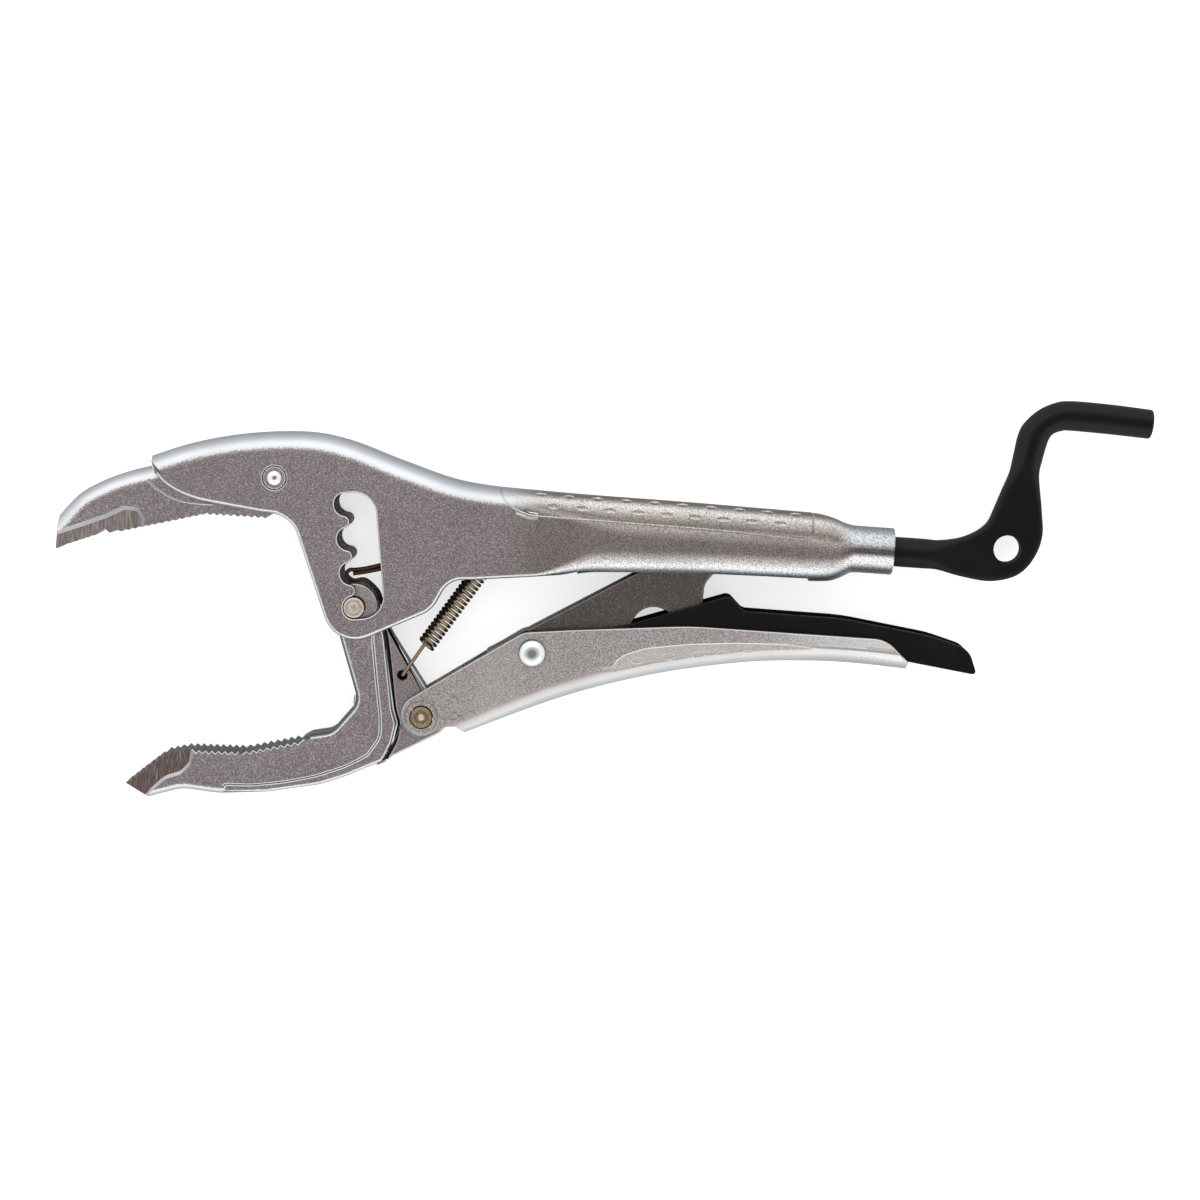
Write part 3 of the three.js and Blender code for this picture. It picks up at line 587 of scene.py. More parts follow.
def make_finishes(colours):
    """Makes every finish, from the colours in the panel."""
    chosen = {key: (*getattr(colours, key), 1.0) for key in colours.__annotations__}
    # Satin nickel over blasted sheet steel: a brown-grey sparkle on the flat sides; a painted reflection
    # in silver where it is rounded, with a painted dark ragged line between the two; the grip and the tail
    # have painted light and shade of their own, set by the way the surface faces.
    FINISHES["body"] = metal(
        "satin_nickel_pressing", chosen["body"], SILVER_REFLECTION,
        zones=((GRIP_PAINTED_LIGHT, 0.5, 43, 64), (TUBE_PAINTED_LIGHT, 0.5, 155, 163)),
    )
    # The same plating on the forged jaws, a little calmer in its sparkle.
    FINISHES["jaw"] = metal("satin_nickel_forging", chosen["jaw"], SILVER_REFLECTION, contrast=0.8)
    # The walls of the lower jaw that face the mouth lie in the shade of the tool and look blue-grey.
    FINISHES["jaw_wall"] = metal("shaded_nickel_forging", chosen["jaw"], SHADED_SILVER, contrast=0.8)
    # The handle's sides are lighter than the body's; towards its open end a painted reflection, set by the
    # way the surface faces, makes it nearly silver.
    FINISHES["handle"] = metal(
        "satin_nickel_handle", chosen["handle"], HANDLE_REFLECTION, reach=(0.93, 0.99), contrast=0.5,
        zones=((OPEN_END_PAINTED_LIGHT, 0.3, 120, 175),),
    )
    # The pressed panel is smoother and paler still, with a painted dark line of shade round its rim and
    # its dimples.
    FINISHES["panel"] = metal(
        "satin_nickel_panel", chosen["panel"], PANEL_REFLECTION_AND_SHADE, contrast=0.2, ragged=0.002,
    )
    # The noses are ground after plating, so bare steel shows with fine lines across it; the lower nose is
    # coloured darker.
    FINISHES["upper_nose"] = metal("ground_steel", linear("7b7270"), SILVER_REFLECTION, contrast=0.5, lines=0.12)
    FINISHES["lower_nose"] = metal(
        "darker_ground_steel", linear("5d4f4a"), SILVER_REFLECTION, contrast=0.5, lines=-0.4,
    )
    # Painted shade: the grooves, the spring hole and the inner walls of the slot are coloured nearly
    # black, as shade falls in them.
    dark = [(0.0, "100e0e"), (0.9, "332e2b")]
    FINISHES["groove"] = metal("painted_shade_recess", linear("2b2623"), dark, contrast=0.2)
    # Plain turned steel of the pins and the thrust cap, slightly warm, with a painted reflection that is
    # paler on their roundings.
    warm = [(0.0, "8f867c"), (0.7, "cfc7bd"), (0.95, "c9bfb4")]
    FINISHES["pin"] = metal("plain_turned_steel", chosen["pins"], warm, contrast=0.35)
    # Plain steel washers, coloured darker with painted shade, as they sit between the body's walls.
    grey = [(0.0, "5d5b59"), (0.9, "b3b0ad")]
    FINISHES["washer"] = metal("plain_steel_washer", linear("7d7874"), grey, contrast=0.35)
    # Yellow-passivated zinc on the front rivet, brown in its hollow, with a painted highlight on the
    # hollow's slopes and painted shade at its outline.
    yellow = [(0.0, "3f3326"), (0.75, "75604a"), (0.93, "b09a80"), (0.98, "5f4e3d")]
    FINISHES["brassy"] = metal(
        "yellow_zinc", chosen["front_rivet"], yellow, reach=(0.985, 0.999), contrast=0.4,
    )
    # Bright zinc on the domed rivet, nearly a mirror, with a painted reflection: dark at its outline and
    # at the top of its dome.
    bright = [(0.0, "3f4347"), (0.25, "84888d"), (0.5, "d3d6d9"), (0.93, "f0f1f2"), (0.975, "b4b6b8")]
    FINISHES["bright"] = metal(
        "bright_zinc", linear("77797b"), bright, roughness=(0.2, 0.2), reach=(0.975, 0.995),
        contrast=0.04, bump=0.004, ragged=0.001,
    )
    # Gunmetal phosphate on the toggle link: dark, with a fine sparkle; painted shade darkens its sides and
    # a painted highlight lightens its rounded edges.
    gunmetal = [(0.0, "2d2b2a"), (0.9, "7a7675")]
    FINISHES["gunmetal"] = metal("gunmetal_phosphate", chosen["link"], gunmetal, contrast=0.6)
    # Black paint with a half gloss on the release lever, with a painted sheen where it is rounded.
    FINISHES["lever"] = coated("black_half_gloss_paint", chosen["lever"], "232324", 0.36, 0.006)
    # Matte black oxide on the crank and screw: hardly any gloss, with a painted sheen that makes it a
    # little paler where it is round.
    FINISHES["crank"] = coated("matte_black_oxide", chosen["crank"], "27272a", 0.5, 0.02)
    # Spring steel with painted shade, dark between the turns, and a painted brassy highlight along each
    # turn.
    brassy = [(0.0, "2f2922"), (0.9, "8f7d66")]
    FINISHES["spring"] = metal(
        "spring_steel_painted_shade", linear("8f7d66"), brassy, roughness=(0.3, 0.32), contrast=0.1,
    )
    # The keeper wire is the same steel, coloured much darker, with painted shade at its sides.
    keeper_tones = [(0.0, "14110f"), (0.9, "3a2d27")]
    FINISHES["keeper"] = metal(
        "dark_spring_wire", linear("4a3a32"), keeper_tones, roughness=(0.36, 0.36), contrast=0.05,
    )


def place(bm, name, body, slot, finishes, *nodes):
    """Puts a finished piece in the scene: shaded, coloured, on its body, in place of its CAD nodes."""
    if not FINISHES:
        make_finishes(bpy.context.scene.pliers_colours)
    bmesh.ops.transform(bm, matrix=DRAWING, verts=bm.verts)
    for face in bm.faces:
        face.smooth = True
    for edge in bm.edges:
        edge.smooth = len(edge.link_faces) == 2 and edge.calc_face_angle() < SHARP
    piece = as_object(modified(bm, "WEIGHTED_NORMAL", keep_sharp=True, weight=50), name)
    for finish in finishes:
        piece.data.materials.append(FINISHES[finish])
    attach(piece, body)
    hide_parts(*nodes)


# ---- Body ---------------------------------------------------------------------------------------

SLOT_PITCH = 11.3  # from one notch to the next
SLOT_LEAN = math.radians(8.1)
NOTCHES = 4


def slot_corners():
    """The slot for the pivot pin: a straight wall on one side, four notches on the other."""
    notch, wall, wall_corner = 3.5, 9.9, 7.3
    tooth, tooth_tip, tooth_start = 0.99, 2.05, 3.95
    end_reach, reach = 3.7, 3.07
    last = NOTCHES - 1
    corners = [(wall, -end_reach, wall_corner), (wall, last * SLOT_PITCH + end_reach, wall_corner)]
    for i in range(last, -1, -1):
        y = i * SLOT_PITCH
        corners.append((-notch, y + (end_reach if i == last else reach), notch))
        corners.append((-notch, y - (end_reach if i == 0 else reach), notch))
        if i:
            corners.append((tooth, y - tooth_start, tooth_tip))
            corners.append((tooth, y - SLOT_PITCH + tooth_start, tooth_tip))
    lean = Matrix.Rotation(SLOT_LEAN, 2)
    return [(*(lean @ Vector((x, y)) + PIVOT), radius) for x, y, radius in corners]


SPLIT = 58.0  # where the flat blade of the body goes over into the rounded grip
GRIP_START = GRIP_EDGE[0][0]
TAIL_START = 146
TUBE_RADIUS = 7.7  # of the tube round the screw
TAIL_TOP = [
    (146, 11.05), (150, 10.7), (153.2, 10.15), (156, 9.35), (158.5, 8.45), (161, 7.85),
    (163.5, TUBE_RADIUS), (176, TUBE_RADIUS),
]
TAIL_BOTTOM = [
    (146, -11.5), (152.5, -11.2), (155.5, -10.8), (158, -9.8), (160.5, -8.5), (163, -TUBE_RADIUS),
    (176, -TUBE_RADIUS),
]
TAIL_HALF = [
    (140, HALF), (146, HALF), (150, 9.3), (153, 8.95), (157, 8.2), (161, 7.75),
    (163.5, TUBE_RADIUS), (176, TUBE_RADIUS),
]
TAIL_TOP, TAIL_BOTTOM, TAIL_HALF = (flat(smooth(line, 6)) for line in (TAIL_TOP, TAIL_BOTTOM, TAIL_HALF))


def body_section(x):
    """Half width, top, bottom, and the height and width of the upper and lower rounding at x."""
    top = at(TAIL_TOP, x) if x > TAIL_START else at(BACK_LINE, x)
    if x > TAIL_START:
        bottom = at(TAIL_BOTTOM, x)
    elif x > GRIP_START:
        bottom = at(GRIP_LINE, x)
    else:
        bottom = -18 + (x - 38) * 0.1206
    tail = ease(149, 163, x)

    def blended(grip):
        return grip + (TUBE_RADIUS - grip) * tail

    upper = blended(6.5 + 5.5 * ease(52, 90, x)), blended(6.5 + 1.5 * ease(52, 90, x))
    lower = blended(1.3 + 7.2 * ease(58, 80, x)), blended(1.3 + 6.2 * ease(58, 78, x))
    return at(TAIL_HALF, x), top, bottom, upper, lower


def body_ring(x, inset=0.0):
    """A ring of points round the body at x, drawn in by the inset."""
    half, top, bottom, upper, lower = body_section(x)
    half, top, bottom = half - inset, top - inset, bottom + inset
    steps = 12
    ring = []
    for side, way, (height, width) in ((1, 1, upper), (-1, 1, upper), (-1, -1, lower), (1, -1, lower)):
        height, width = min(height, (top - bottom) / 2) - inset, min(width, half) - inset
        centre_y = top - height if way > 0 else bottom + height
        for k in range(steps + 1):
            turn = math.pi / 2 * k / steps
            turn = turn if side * way > 0 else math.pi / 2 - turn
            y = centre_y + way * height * math.sin(turn)
            ring.append(Vector((x, y, side * (half - width + width * math.cos(turn)))))
    return ring


def on_body(x, y):
    """Height of the body's side at a point near the back, and the lean of its normal."""
    half, top, _, (height, width), _ = body_section(x)
    rise = min(max(0.0, y - (top - height)), height * 0.999) / height
    across = math.sqrt(1 - rise * rise)
    return half - width + width * across, -math.atan2(rise / height, across / width)


def dimple(x, y, z, tilt, turn, size):
    """A flattened ball that presses a shallow dimple."""
    bm = bmesh.new()
    bmesh.ops.create_icosphere(bm, subdivisions=3, radius=1)
    bmesh.ops.scale(bm, vec=size, verts=bm.verts)
    turned_by = Matrix.Rotation(tilt, 3, "X") @ Matrix.Rotation(turn, 3, "Z")
    bmesh.ops.rotate(bm, verts=bm.verts, cent=(0, 0, 0), matrix=turned_by)
    bmesh.ops.translate(bm, verts=bm.verts, vec=(x, y, z))
    return bm


def grip_score():
    """Cutter for the near half of the line scored round the grip's panel and over its back."""
    front, tail, above = 45.0, 147.7, 0.14
    line = [
        (45.2, 12.4), (46.0, 10.2), (47.6, 8.2), (50.3, 6.2), (54.0, 4.9), (59, 4.3), (88, 4.0),
        (117.7, 3.6), (138, 2.7), (144.4, 2.5), (147.2, 4.4), (tail, 7.5), (tail, 10.3),
    ]
    side = [Vector((point.x, point.y, on_body(point.x, point.y)[0] + above)) for point in smooth(line, 6)]
    over_front = [Vector((front, body_section(front)[1] + above, z)) for z in (-0.4, 1.2, 2.8)]
    over_tail = [Vector((tail, body_section(tail)[1] + above, z)) for z in (2.8, 1.2, -0.4)]
    return tube([*over_front, *side, *over_tail], 0.36, 8)


def grip_dimples():
    """Cutters for the near side's two rows of dimples, along the side and along the back."""
    pitch, depth = 9.26, 0.3
    rows = []
    for i in range(9):
        x, y = 62.9 + pitch * i, 7.8 - 0.09 * i
        rows.append(dimple(x, y, *on_body(x, y), 0, (2.1, 1.1, depth)))
    for i in range(10):
        x = 58.6 + pitch * i
        y = body_section(x)[1] - 0.75
        rows.append(dimple(x, y, *on_body(x, y), 0, (1.9, 1.1, depth)))
    return together(*rows)


def grip_marks():
    """Cutters for the scored line and the dimples on both sides of the grip."""
    return [grip_score(), flipped(grip_score()), grip_dimples(), flipped(grip_dimples())]


LIP = [
    (-70.4, 24), (-69.2, 17), (-68.1, 12.2), (-66.0, 8.6), (-63.1, 6.1), (-58.4, 3.7), (-53.0, 2.1),
    (-46.8, 1.2), (-39.1, 0.3), (-31.5, -0.5),
]


def body_blade(edge_radius):
    """The front of the body: a folded sheet, open below and at the mouth, with the slot."""
    inside = HALF - BODY_SHEET
    front_back = [point for point in BACK_LINE if point[0] < SPLIT]
    back = [(-100, 6.0), (-84, 10.0), *front_back, (SPLIT, at(BACK_LINE, SPLIT))]
    below = [
        (SPLIT, body_section(SPLIT)[2]), (38.1, -18, 12), (30.5, -18.5, 7), (25.4, -28.9, 9),
        (-5.2, -44.4, 10.8), (-22.3, -0.7, 9), (-28.5, -0.8), (-60, -8), (-100, -8),
    ]
    blade = plate([*back, *below], -HALF, HALF)
    bevel(blade, along(back), BACK_RADIUS, 12)
    roof = [(x, y - BODY_SHEET) for x, y in back]
    end = (SPLIT + 5, roof[-1][1])
    hollow = plate([*roof, end, (end[0], -80), (-100, -80)], -inside, inside)
    bevel(hollow, along([*roof, end]), BACK_RADIUS - BODY_SHEET, 6)
    lip = reversed(flat(smooth(LIP, 4)))
    mouth = plate([(-27.5, -14), (-27.5, -0.68), *lip, (-120, 40), (-120, -14)], -CLEAR, CLEAR)
    blade = cut(blade, mouth, hollow, flared(slot_corners(), HALF, 0.5), *grip_marks())
    head_pocket = drill(JAW_RIVET, 4.0, HALF - 1.2, CLEAR)
    blade = cut(blade, drill(JAW_RIVET, JAW_RIVET_HOLE), mirrored(head_pocket))

    slot_end = PIVOT + Matrix.Rotation(SLOT_LEAN, 2) @ Vector((0, (NOTCHES - 1) * SLOT_PITCH))

    def at_rivet(point):
        return (point - JAW_RIVET).length < 5

    def at_slot(point):
        return off_leg(point, PIVOT, slot_end) < 10.1

    def outside(point):
        below_back = point.y < at(BACK_LINE, point.x) - BACK_RADIUS - 0.1
        return below_back and not at_slot(point) and not at_rivet(point)

    def soft_edge(where):
        def on_side(middle):
            return middle.x < SPLIT - 0.1 and abs(middle.z) > HALF - 0.1 and where(middle.to_2d())

        return steep(55, on_side)

    bevel(blade, soft_edge(at_rivet), 0.35, 3)
    bevel(blade, soft_edge(outside), edge_radius, 5)
    # Painted shade: the inner walls of the slot take the nearly black finish.
    paint(blade, 1, lambda middle, normal: abs(normal.z) < 0.2 and at_slot(middle.to_2d()))
    return blade


def body_grip():
    """The rear of the body: a rounded grip, nearly closed below, that ends in the screw's tube."""
    inside = HALF - BODY_SHEET
    xs = [SPLIT + 2.75 * k for k in range(32)] + [TAIL_START + 0.75 * k for k in range(25)]
    rings = [body_ring(x) for x in xs]
    for x, inset in ((168, 0), (171, 0), (174.4, 0), (174.8, 0.12), (175, 0.45)):
        rings.append(body_ring(x, inset))
    xs = [SPLIT - 5, *(SPLIT + 6 * k for k in range(15)), 148]
    roof = [(x, body_section(max(x, SPLIT))[1] - BODY_SHEET) for x in xs]
    floor = [(x, body_section(max(x, SPLIT))[2] + BODY_SHEET) for x in xs]
    channel = plate([*roof, *reversed(floor)], -inside, inside)
    bevel(channel, along(roof), BACK_RADIUS - BODY_SHEET, 6)
    bevel(channel, along(floor), 2.5, 4)
    throat = plate([(71.8, 0), (148, 0), (148, -30), (70.4, -30), (70.4, -12.6), (71.8, -11.6)], -5.8, 5.8)
    open_end = plate([(SPLIT - 9, 0), (72, 0), (72, -30), (SPLIT - 9, -30)], -inside, inside)
    bore = turned([(0, -30), (5.2, -30), (5.2, 24.4), (5.8, 25.1), (5.8, 40), (0, 40)], (150, 0), "X")
    return cut(loft(rings), channel, throat, open_end, bore, *grip_marks())


def body_shell(edge_radius):
    """The whole pressed body."""
    return together(body_blade(edge_radius), body_grip())


# ---- Jaws ---------------------------------------------------------------------------------------

JAW_HALF = 6.7
STEP_HALF = 5.9  # the lower jaw's sides step down to this outside the raised middle
WEB_HALF = 3.5


def tooth_row(start, end, pitch=2.25, depth=1.0):
    """Outline points of a row of teeth, which are cut to the right of the way from start to end."""
    start, end = Vector(start), Vector(end)
    run = end - start
    count = round(run.length / pitch)
    inwards = Vector((run.y, -run.x)).normalized() * depth
    points = []
    for i in range(count):
        points.append(tuple(start + run * (i + 0.15) / count))
        points.append(tuple(start + run * (i + 0.65) / count + inwards))
    return points


def recess(corners, floor, slope):
    """A cutter for a ground flat with a sloped rim, on both sides."""
    tool = plate(corners, floor, 12)
    bevel(tool, lambda edge: all(abs(v.co.z - floor) < 0.01 for v in edge.verts), slope, 1)
    return mirrored(tool)


def upper_jaw(tooth_depth):
    """The fixed jaw: a forging with a rounded back and a nose that is ground flat on both sides."""
    back = [(-98.3, -6.2), (-92.1, 1.0), (-84.6, 5.8), (-76.9, 9.2), (-69.5, 11.6), (-62, 14.6)]
    top = flat(smooth(back, 6)) + [(x, y - 2.8) for x, y in BACK_LINE if -60 < x < -18]
    teeth = [
        *tooth_row((-30.4, -2.7), (-50.6, -2.8), depth=tooth_depth),
        *tooth_row((-50.6, -2.8), (-79.3, -10.8), depth=tooth_depth),
        (-81.3, -11), (-83.1, -9.6), (-85.2, -11.5),
        *tooth_row((-86, -12.1), (-97.4, -16.7), 1.9, 0.4)[:-1],
    ]
    outline = [(-98.7, -17.5, 0.5), *top, (-14.8, 20.3, 3), (-15.4, 9, 5), (-24.5, 1.5, 4), *teeth]
    bm = plate(outline, -JAW_HALF, JAW_HALF)
    bevel(bm, along(top), 5.4, 10)
    ridge = [
        (-69.6, 7.4, 6.4), (-68.3, 6.1, 6.5), (-65.1, 4.0, 6.5), (-60.4, 1.8, 6.5), (-54.9, 0.9, 6.5),
        (-48, 0.8, 6.4),
    ]
    bm = combined(bm, mirrored(tube(smooth(ridge, 5), 0.55, 10)), "UNION")
    nose_half = 5.3
    nose = [
        (-106, -14.3), (-97.8, -11), (-90.6, -8.1, 10), (-83.1, -4.9, 10), (-77.2, -1.7, 2.5),
        (-72.3, -1.8, 3), (-70, -4.8, 3), (-69.9, -14), (-106, -27),
    ]
    bm = cut(bm, recess(nose, nose_half, 1.4), drill(JAW_RIVET, JAW_RIVET_HOLE))

    def on_nose(middle, normal):
        on_flat = abs(middle.z) < nose_half + 0.05 and abs(normal.z) > 0.9
        return on_flat and middle.x < -70 and middle.y < -3

    paint(bm, 1, on_nose)
    return bm


LOWER_TEETH = [
    ((-71.7, -92.8), (-60, -82.6)), ((-59.3, -82.2), (-53.2, -80.4)), ((-52.8, -80.3), (-33.5, -79.7)),
    ((-33.2, -79.6), (-15.3, -74.9)),
]
NECK_MOUTH = [(-14.4, -74.5), (-12.3, -73, 1), (-5, -71.4, 5), (3, -61, 5), (-7.8, -29.9)]
NECK_BACK = [
    (7.4, -29.7), (10.2, -39.1, 15), (14.1, -62.9, 5), (15.7, -67.6, 3), (14.5, -74.2, 4), (10.9, -82.2),
]
JAW_BELLY = [
    (-91.7, -105.8), (-63.6, -97.2), (-53.2, -93.8, 10), (-41.1, -94.7, 20), (-24.9, -93.1, 20),
    (-7.9, -89.5, 20), (0.4, -86.2, 20), (11, -80.9, 3), (50, -65),
]
JAW_RIM = [
    (6.2, -25), (6.8, -41.3, 12), (8.9, -55, 20), (10.6, -65.1, 8), (11, -72.2, 6), (7, -78.6, 5),
    (0.1, -82.7, 20), (-9.6, -86.6, 30), (-20, -89.3, 30), (-30.4, -91, 20), (-39.4, -91.3, 0.8),
]
GROOVE = [
    (9, -34.1), (10.9, -40.2), (12.8, -50.8), (14.7, -62.4), (16.3, -67.7), (15.7, -73.6), (13.3, -78.7),
    (11.2, -82.4),
]
JAW_NOSE = [
    (-66.5, -100), (-62.7, -94.9, 4), (-58.7, -90.8, 6), (-53.6, -88.9, 5), (-50.6, -85.5, 3),
    (-50, -81.2, 2), (-51.3, -77), (-90, -77), (-90, -104),
]
JAW_NOSE_HALF = 5.7


def lower_jaw_blank(tooth_depth):
    """The outline of the lower jaw, rounded along its belly and inside its neck."""
    teeth = [point for row in LOWER_TEETH for point in tooth_row(*row, depth=tooth_depth)]
    belly = [(1, -98), (-40, -102), (-60, -102), (-63.4, -97.7), (-71.9, -93.1, 0.4)]
    outline = plate([*teeth, *NECK_MOUTH, *NECK_BACK, *belly], -CLEAR, CLEAR)
    round_below = plate([(-90, -20), *JAW_BELLY, (50, -20)], -JAW_HALF, JAW_HALF)
    mouth_side = [(-12, -10), *NECK_MOUTH[::-1], (-18, -64), (-110, -50)]
    round_neck = plate([*mouth_side, (-110, -120), (60, -120), (60, -10)], -JAW_HALF, JAW_HALF)

    def below(edge):
        return on_level(edge) and max(v.co.y for v in edge.verts) < -60 and edge.calc_length() < 45

    def in_neck(edge):
        return on_level(edge) and -13.5 < edge.verts[0].co.x < 5 and edge.verts[0].co.y > -75

    bevel(round_below, below, 2.5, 6)
    bevel(round_neck, in_neck, 1.8, 5)
    return combined(combined(outline, round_below, "INTERSECT"), round_neck, "INTERSECT")


def paint_lower_jaw(bm):
    """Tells apart the ground nose, the groove and hole, which are painted nearly black as shade, and the
    walls that face the mouth, which are painted as if in shade.
    """
    legs = [(Vector(a), Vector(b)) for a, b in zip(GROOVE, GROOVE[1:])]

    def on_nose(middle, normal):
        on_flat = abs(middle.z) < JAW_NOSE_HALF + 0.05 and abs(normal.z) > 0.9
        return on_flat and middle.x < -49 and middle.y < -78

    # Painted shade: the groove and the spring hole take the nearly black finish.
    def in_groove(middle, normal):
        below_side = 2.7 < abs(middle.z) < 3.45 and middle.x > 8
        return below_side and min(off_leg(middle.to_2d(), *leg) for leg in legs) < 0.65

    def in_hole(middle, normal):
        return middle.z < 3.05 and (middle.to_2d() - SPRING_HOLE).length < 1.6

    # Painted shade: the walls that face the mouth take the blue-grey shaded finish.
    def to_mouth(middle, normal):
        on_wall = middle.x < 5 and abs(normal.z) < (0.5 if middle.x < -49 else 0.93)
        return on_wall and (normal.y > 0.2 or (normal.x < -0.4 and middle.y > -80))

    for index, where in ((1, on_nose), (2, in_groove), (2, in_hole), (3, to_mouth)):
        paint(bm, index, where)


def lower_jaw(tooth_depth):
    """The moving jaw: a toothed forging with an arm for the pivot pin, on a thin web for the handle."""
    step = mirrored(plate([*JAW_RIM, (-39.4, -112), (32, -112), (32, -25)], STEP_HALF, 12))
    nose = recess(JAW_NOSE, JAW_NOSE_HALF, 1.0)
    relief = mirrored(turned([(0, 5.0), (8.3, 5.0), (8.3, CLEAR), (0, CLEAR)], PIVOT))
    arm_end = [(0, -5.3), (7.3, -5.3), (7.7, -4.92), (7.7, 4.92), (7.3, 5.3), (0, 5.3)]
    web = [(5, -29.7), (7.4, -30), (13.5, -39.2, 3), (34, -67.8, 4.5), (11.6, -80.9), (0, -81)]
    bm = cut(lower_jaw_blank(tooth_depth), step, nose, relief)
    bm = combined(bm, turned(arm_end, PIVOT, steps=60), "UNION")
    bm = combined(bm, plate(web, -WEB_HALF, WEB_HALF), "UNION")
    groove = mirrored(tube(smooth([(x, y, WEB_HALF + 0.1) for x, y in GROOVE], 6), 0.62, 10))
    spring_hole = [(0, -2.6), (1.5, -2.6), (1.5, 3.1), (1.9, 3.55), (1.9, CLEAR), (0, CLEAR)]
    bm = cut(bm, groove, drill(PIVOT, PIVOT_HOLE), drill(FRONT_PIVOT, FRONT_RIVET_HOLE))
    bm = cut(bm, turned(spring_hole, SPRING_HOLE))

    def on_outer_edge(middle):
        at_side = min(abs(abs(middle.z) - level) for level in (JAW_HALF, STEP_HALF, WEB_HALF)) < 0.02
        return at_side and (middle.to_2d() - FRONT_PIVOT).length > 5

    bevel(bm, steep(50, on_outer_edge), 0.65, 3)
    paint_lower_jaw(bm)
    return bm


# ---- Lower handle, link and lever ---------------------------------------------------------------

def joggled(bm, narrow, wide, start, end):
    """Narrows the part of the handle in front of its step, in a soft curve."""
    steps = 12
    for k in range(steps + 1):
        x = start + (end - start) * k / steps
        everything = bm.verts[:] + bm.edges[:] + bm.faces[:]
        bmesh.ops.bisect_plane(bm, geom=everything, plane_co=(x, 0, 0), plane_no=(1, 0, 0))
    for vert in bm.verts:
        vert.co.z *= (narrow + (wide - narrow) * ease(start, end, vert.co.x)) / wide
    return bm


HANDLE_TOP = [(55.9, -34.0, 8), (70, -32.3, 30), (110, -28.2, 90), (174.2, -28.2, 9), (182.2, -35.4, 1)]
HANDLE_FRONT = [
    (38.2, -71.4), (38.2, -69.2), (35.6, -67.2, 1), (32.8, -67.2, 2), (20.4, -73.2, 6), (16, -61.4, 6.2),
]
HANDLE_PANEL = [
    (86.5, -50.6), (83.8, -45.2, 5), (87.6, -39.2, 7), (96, -36.0, 14), (110, -33.7, 40),
    (126, -32.2, 60), (141.4, -31.6, 60), (160.9, -32.6, 40), (175.5, -35.2, 8), (179, -42), (140, -52),
    (92, -56),
]
HANDLE_DIMPLES = [
    (93.8, -40.7), (103.7, -38.7), (113.3, -37.4), (121.4, -36.5), (129.4, -35.7), (137.1, -35.2),
    (145.5, -35.0), (154.3, -34.9), (163.0, -35.4),
]
PANEL_DEPTH = 0.3


def handle_panel():
    """Cutters for the panel pressed into both sides of the handle, and for its row of dimples."""
    level = HALF - PANEL_DEPTH
    pressed = plate(HANDLE_PANEL, level, 12)
    bevel(pressed, lambda edge: all(abs(v.co.z - level) < 0.01 for v in edge.verts), 1.0, 4)
    row = []
    last = len(HANDLE_DIMPLES) - 1
    for i, (x, y) in enumerate(HANDLE_DIMPLES):
        before, after = HANDLE_DIMPLES[max(i - 1, 0)], HANDLE_DIMPLES[min(i + 1, last)]
        slope = math.atan2(after[1] - before[1], after[0] - before[0])
        row.append(dimple(x, y, level, 0, slope, (2.2 - 0.07 * i, 1.15 - 0.05 * i, 0.28)))
    return mirrored(pressed), mirrored(together(*row))


def lower_handle():
    """The lower handle: a pressed channel, open above, that narrows in front to clasp the jaw's web."""
    inside, narrow = HALF - HANDLE_SHEET, 3.8
    bottom = [(24, -76.2), *BOTTOM_LINE, (210, -39.2)]
    under = reversed([(x, y - 2) for x, y in BOTTOM_LINE if x > 39])
    outline = plate([*under, *HANDLE_FRONT, *HANDLE_TOP, (181.4, -40.0)], -CLEAR, CLEAR)
    blank = plate([*bottom, (210, 0), (0, 0), (0, -75)], -HALF, HALF)
    bevel(blank, along(bottom), 6.4, 12)
    bm = cut(combined(outline, blank, "INTERSECT"), *handle_panel())
    joggled(bm, narrow + HANDLE_SHEET, HALF, 34, 62)
    floor = [(x, y + HANDLE_SHEET) for x, y in BOTTOM_LINE]
    cavity = plate([*floor, (200, -35.2), (200, 0), (0, 0), (0, -90), (38.2, -90)], -inside, inside)
    bevel(cavity, along(floor), 3.0, 6)
    joggled(cavity, narrow, inside, 34, 60)
    rivet_seat = turned([(0, 5.8), (5.2, 5.8), (5.8, 6.4), (5.8, CLEAR), (0, CLEAR)], FRONT_PIVOT)
    bm = cut(bm, cavity, mirrored(rivet_seat))
    bm = cut(bm, drill(FRONT_PIVOT, FRONT_RIVET_HOLE), drill(LINK_PIVOT, LINK_RIVET_HOLE))
    top_edge = [Vector((15, -66)), Vector((18, -60)), *(Vector(corner[:2]) for corner in HANDLE_TOP)]
    legs = list(zip(top_edge, top_edge[1:]))

    def on_top(middle):
        outer = abs(middle.z) > narrow + 1.9
        return outer and min(off_leg(middle.to_2d(), *leg) for leg in legs) < 2.2

    def in_panel(middle, normal):
        level = HALF - 0.75 < abs(middle.z) < HALF - 0.02
        above_edge = abs(normal.z) > 0.97 or middle.y > at(BOTTOM_LINE, middle.x) + 5.5
        return level and above_edge and middle.x > 83.5 and middle.y < -31.4

    bevel(bm, steep(55, on_top), 0.5, 3)
    paint(bm, 1, in_panel)
    return bm


